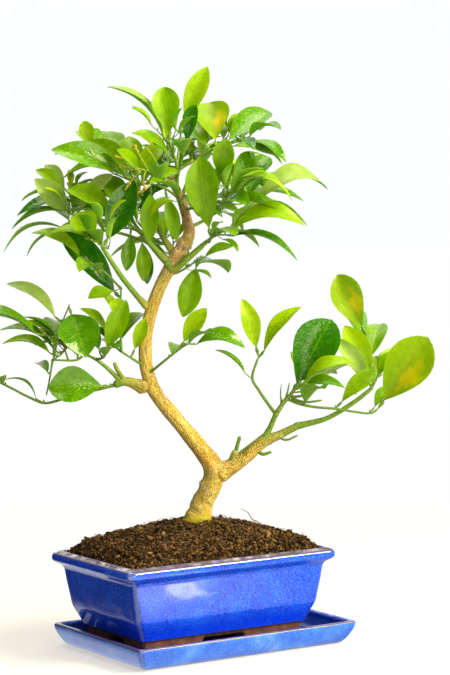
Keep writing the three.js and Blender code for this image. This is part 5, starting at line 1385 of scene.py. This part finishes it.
# Painted shade: the heap is darkened where its noise dips, through the field dark.
hollow_shade = np.clip(0.35 - 0.9 * noise(soil_at / 1.1, 33) - 0.4 * noise(soil_at / 2.6, 32), 0, 1)
print("heap from", soil_at[..., 2].min(), "to", soil_at[..., 2].max(), "mm")

# %% Finishes for soil
def soil_finish(name, *stops, roughness=0.95, scale=0.5):
    """Crumbly brown from a noise through colour stops, moss by the trunk's foot, darker or lighter
    by the field dark, a random tone on the crumbs and painted shade in the heap's dips, and strong
    fine bump."""
    finish, shader, tree, where = finish_of(name, roughness, Specular_IOR_Level=0.12)
    fine, dark = cloudy(where, 2.4, 4, 0.7), field(tree, "dark")
    near = clip(1.0 - vector("DISTANCE", where, 1, _1=(-1.0, -2.0, 78.0)) / 22.0)
    tint = laid_over(ramp(cloudy(where, scale, 6, 0.7), *stops),
        (near * clip((fine - 0.45) * 5.0) * 0.7, (146, 124, 10)),
        (clip(dark * 0.85), (14, 8, 2)), (clip(dark * -0.8), (190, 146, 84)))
    join(tint, shader.inputs["Base Color"])
    bump(shader, fine, 0.9, 0.0006)
    return finish


compost = soil_finish("compost", (0.38, (9, 5, 1)), (0.48, (52, 34, 11)), (0.58, (114, 80, 34)),
    (0.69, (224, 184, 120)))
chip_finish = soil_finish("bark_chips", (0.35, (150, 88, 26)), (0.55, (196, 130, 44)),
    (0.75, (214, 160, 84)), roughness=0.85, scale=0.25)
fibre_finish = soil_finish("root_fibres", (0.35, (92, 64, 34)), (0.6, (150, 114, 66)),
    (0.8, (188, 156, 104)), roughness=0.8, scale=0.3)
put_mesh("soil_heap", [(soil_at, dict(dark=hollow_shade))], [compost], ["soil"])

# %% Places on the heap, evenly spread
SPREAD = np.linspace(0.01, 1, 400)
SPREAD_MIDDLE = 50
spread = heap_at(SPREAD)
ring_size = np.linalg.norm(np.diff(spread[:, ::8], axis=1), axis=2).sum(1)


def on_heap(count, lowest=0.0):
    """Random points on the heap: a ring drawn by its length, and a place round it drawn by the
    distance between neighbours."""
    allowed = ring_size * (SPREAD >= lowest)
    ring = draws.choice(len(SPREAD), count, p=allowed / allowed.sum())
    gap = np.linalg.norm(spread[SPREAD_MIDDLE] - np.roll(spread[SPREAD_MIDDLE], -1, 0), axis=1)
    place = draws.choice(len(gap), count, p=gap / gap.sum())
    along_gap = draws.random(count)[:, None]
    return spread[ring, place] * (1 - along_gap) + spread[ring, (place + 1) % len(gap)] * along_gap


def keep_off_wall(points, room):
    """Pulls points in from the pot's wall by the room that they need."""
    half = np.array(SOIL_EDGE) / 2 - np.reshape(room, (-1, 1)) - 0.4
    points[:, :2] = np.clip(points[:, :2] - POT_AT, -half, half) + POT_AT
    return points


def shades(count, middle, spread_by, least, most):
    """How dark each of count pieces is, drawn about a middle."""
    return np.clip(draws.normal(middle, spread_by, (count, 1, 1)), least, most)


# %% Crumbs and chips
CRUMBS, GRIT, CHIPS = 2800, 4600, 170


def lumps(sizes, stretch, rings=5, around=7, lumpy=0.28):
    """Closed lumps: rings of a sphere, radius size (1 + lumpy noise), stretched along three axes and
    turned to a random direction, half sunk at a place on the heap."""
    count, stretch = len(sizes), np.array(stretch)
    ball = ball_of(rings, around)
    shift = draws.uniform(0, 90, (count, 1, 1, 3))
    bulge = (1 + lumpy * noise(ball * 1.6 + shift, 41))[..., None]
    at = ball * bulge * sizes[:, None, None, None] * stretch
    turned = np.linalg.qr(draws.normal(size=(count, 3, 3)))[0]
    at = np.einsum("nijk,nkl->nijl", at, turned)
    at[..., 2] *= 0.8
    places = keep_off_wall(on_heap(count), sizes * np.max(stretch))
    places[:, 2] += sizes * 0.25
    return at + places[:, None, None]


crumb_sizes = np.clip(draws.lognormal(-0.5, 0.5, CRUMBS), 0.35, 2.2)
crumb_at = lumps(crumb_sizes, (1.5, 0.85, 0.65), lumpy=0.5)
crumb_skins = [(crumb_at, dict(dark=shades(CRUMBS, 0.2, 0.55, -0.8, 0.95)))]
put_mesh("soil_crumbs", crumb_skins, [compost], ["soil"])
grit_at = lumps(draws.uniform(0.22, 0.6, GRIT), (1.9, 0.8, 0.6), 4, 5, 0.5)
grit_skins = [(grit_at, dict(dark=shades(GRIT, 0.1, 0.65, -0.9, 0.95)))]
put_mesh("soil_grit", grit_skins, [compost], ["soil"])
chip_at = lumps(draws.uniform(0.35, 0.95, CHIPS), (1.9, 0.8, 0.45), lumpy=0.2)
put_mesh("bark_chips", [(chip_at, {})], [chip_finish], ["soil"])

# %% Fibres, and one wiry root that stands up
FIBRES, FIBRE_RINGS = 1700, 8
ROOTLET = [[43, -8, -13], [39.5, -8, -6], [38, -8, -1], [34, -8, 1.5], [31.5, -8, 5.5], [27, -8, 8]]
UPRIGHT = np.array([0, 0, 1])


def fibre_path(start, aim, size, lift, bend):
    """Along the ground from start, bending by bend s^2 and arching by lift sin(pi s)."""
    ahead = np.array([np.cos(aim), np.sin(aim), 0])
    side = np.array([-np.sin(aim), np.cos(aim), 0])
    return lambda s: (start + ahead * (size * s)[:, None] + side * (bend * size * s**2)[:, None]
        + UPRIGHT * (lift * np.sin(np.pi * s) - 0.15 * size * s**2)[:, None])


starts = keep_off_wall(on_heap(FIBRES, 0.02), np.full(FIBRES, 1.0)) + (0, 0, 0.5)
inward = np.arctan2(POT_AT[1] - starts[:, 1], POT_AT[0] - starts[:, 0])
aims = inward + draws.normal(0, 1.0, FIBRES)
sizes, lifts = draws.uniform(2.5, 9, FIBRES), draws.uniform(0.3, 1.6, FIBRES)
paths = [fibre_path(*each) for each in zip(starts, aims, sizes, lifts, draws.normal(0, 0.4, FIBRES))]
thick = draws.uniform(0.08, 0.2, FIBRES)[:, None] * (1 - 0.5 * np.linspace(0, 1, FIBRE_RINGS))
fibre_at = shoots(paths, thick, 5)
rootlet = limb(ROOTLET, [0.9, 0.8, 0.7, 0.6, 0.45, 0.3])
rootlet_at = shoots([lambda s: planted(along(rootlet, s))], thickness_of([rootlet], 30), 6)
fibre_skins = [(fibre_at, dict(dark=shades(FIBRES, 0.25, 0.45, -0.5, 0.9))), (rootlet_at, dict(dark=0.3))]
put_mesh("soil_fibres", fibre_skins, [fibre_finish], ["soil"])

# %% [markdown]
# ## Floor, light and camera
#
# The plant stands on a plain pale floor in bright soft light from the front and right. The floor is
# very large and whitens with distance, so no edge shows. Soft lamps make the shadows, and the
# world and the floor show a mirroring surface darker and brighter patches than the camera sees.

# %% Floor
FLOOR_SIZE, FLOOR_GLOW, WHITE = 6.0, 0.55, (1, 1, 1, 1)
GLINT_PATCH_AT, FAR_FROM = (0.024, -0.128, 0.0), 0.16


def rays_of(tree):
    """Whether the camera asks, and whether a mirroring surface asks."""
    return [value_of(tree, "LightPath", None, kind) for kind in ("Is Camera Ray", "Is Glossy Ray")]


floor_mesh = bpy.data.meshes.new("floor")
corners = np.array([[-1, -1], [1, -1], [1, 1], [-1, 1]]) * FLOOR_SIZE
floor_mesh.from_pydata([(x, y, 0.0) for x, y in corners], [], [(0, 1, 2, 3)])
floor = bpy.data.objects.new("floor", floor_mesh)
bpy.context.scene.collection.objects.link(floor)
floor_finish, shader, tree, where = finish_of("pale_floor", 0.8, scale=1.0, Specular_IOR_Level=0.1)
camera_ray, glossy_ray = rays_of(tree)
x, y, _ = split(where)
far = clip((vector("LENGTH", where, 1) - FAR_FROM) * 2.0)
cream = mix(cloudy(where, 3.0, 3), colour(252, 244, 228), colour(255, 249, 238))
join(cream, shader.inputs["Base Color"])
to_left, to_back = clip((-0.085 - x) * 40.0), clip((y + 0.035) * 30.0)
near_left, in_front = clip((0.12 - x) * 7.0), clip((-0.082 - y) * 30.0)
# Painted reflection and light: rays other than the camera see the floor glow. Mirror rays see it bright in
# front, with a small patch nine times white that puts a glint on the pot's front, and near black at the
# back left. Other rays see it dimmer on the left.
glint_patch = clip((cloudy(where, 60.0, 3) * 2.0 + 0.4) - vector("DISTANCE", where, 1, _1=GLINT_PATCH_AT) * 75.0)
lit = mix(near_left * (in_front * 0.88 + 0.12), (0.5, 0.5, 0.52, 1), (2.6, 2.55, 2.5, 1))
lit = mix(glint_patch, lit, (9.0, 9.0, 8.6, 1))
bounced = mix(to_left, (0.78, 0.77, 0.75, 1), (0.3, 0.3, 0.32, 1))
mirrored = mix(to_left * to_back * glossy_ray, mix(glossy_ray, bounced, lit), (0.02, 0.02, 0.03, 1))
glow = value_of(tree, "Emission", _0=mix(far, cream, WHITE), Strength=1.0)
shown = value_of(tree, "MixShader", _0=clip(far * 0.45 + FLOOR_GLOW), _1=shader.outputs[0], _2=glow)
hidden = value_of(tree, "Emission", _0=mirrored)
both = value_of(tree, "MixShader", _0=camera_ray, _1=hidden, _2=shown)
join(both, tree.nodes["Material Output"].inputs["Surface"])
floor_mesh.materials.append(floor_finish)
floor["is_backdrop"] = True

# %% World and lamps
world = bpy.data.worlds.new("pale_room")
bpy.context.scene.world = world
world.use_nodes = True
tree = world.node_tree
camera_ray, glossy_ray = rays_of(tree)
x, y, _ = split(value_of(tree, "TexCoord", None, "Generated"))
rightward, behind = clip((x + 0.25) * 2.5), clip(y * 1.2 + 0.4)
mirror = mix(rightward * behind, (0.03, 0.03, 0.04, 1), WHITE)
room = mix(glossy_ray, mix(rightward, (0.2, 0.2, 0.2, 1), (0.45, 0.45, 0.45, 1)), mirror)
background = tree.nodes["Background"].inputs
join(mix(camera_ray, room, (0.99, 1.0, 1.0, 1)), background["Color"])
background["Strength"].default_value = 1.0


def stand(made, right, up, back, place):
    """Puts an object into the scene at a place, with its own axes along three directions."""
    turned = np.eye(4)
    turned[:3, :3] = np.stack([right, up, back], 1)
    turned[:3, 3] = place
    made.matrix_world = Matrix(turned.tolist())
    bpy.context.scene.collection.objects.link(made)


def lamp(name, place, aim, size, power, tint=(1, 1, 1), only=None):
    """An oblong soft light at a place, facing another place. A lamp kept to only one collection
    isn't mirrored either."""
    light = bpy.data.lights.new(name, "AREA")
    light.shape = "RECTANGLE"
    light.size, light.size_y, light.energy, light.color = *size, power, tint
    made = bpy.data.objects.new(name, light)
    way = np.array(place) - np.array(aim)
    back = way / np.linalg.norm(way)
    right = np.cross([0, 0, 1.0], back)
    right /= np.linalg.norm(right)
    stand(made, right, np.cross(back, right), back, place)
    if only:
        made.light_linking.receiver_collection = only
        made.visible_glossy = False


WARM = 1, 0.96, 0.86
lamp("key", (0.9, -1.2, 1.2), (0, 0, 0.15), (0.7, 0.7), 46, WARM)
lamp("overhead", (0.0, 0.15, 1.6), (0, 0, 0), (1.1, 1.1), 19)
lamp("front", (0.0, -1.9, 0.6), (0, 0, 0.15), (1.2, 0.8), 14)
lamp("crown_fill", (-1.3, -0.7, 0.75), (-0.03, 0, 0.24), (0.9, 0.9), 5.5, only=plant)
lamp("wood_fill", (-0.2, -1.5, 0.5), (0, 0, 0.2), (0.8, 0.8), 11.5, WARM, wood)
bpy.context.scene.view_settings.view_transform = "Standard"

# %% Camera at the photograph's place
PHOTO_TALL, PHOTO_FOCAL, SENSOR = 675, 2301.03, 36
YAW, PITCH, ROLL = -0.5795, 0.07008, -0.00828
CAMERA_AT = (-0.77126, -1.20419, 0.29355)
look = np.array([-np.sin(YAW) * np.cos(PITCH), np.cos(YAW) * np.cos(PITCH), -np.sin(PITCH)])
level_right = np.array([np.cos(YAW), np.sin(YAW), 0])
level_up = np.cross(level_right, look)
right = np.cos(ROLL) * level_right + np.sin(ROLL) * level_up
upright = -np.sin(ROLL) * level_right + np.cos(ROLL) * level_up
lens = bpy.data.cameras.new("photo_camera")
lens.sensor_fit, lens.sensor_height = "VERTICAL", SENSOR
lens.lens = SENSOR * PHOTO_FOCAL / PHOTO_TALL
lens.clip_start, lens.clip_end = 0.05, 50
camera = bpy.data.objects.new("photo_camera", lens)
stand(camera, right, upright, -look, CAMERA_AT)
bpy.context.scene.camera = camera
print("lens", round(lens.lens, 2), "mm")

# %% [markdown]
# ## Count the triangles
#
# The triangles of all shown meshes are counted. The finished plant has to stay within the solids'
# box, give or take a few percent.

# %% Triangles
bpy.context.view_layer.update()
meshes = [piece.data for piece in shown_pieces() if piece.type == "MESH"]
print("triangles", sum(len(face.vertices) - 2 for mesh in meshes for face in mesh.polygons))
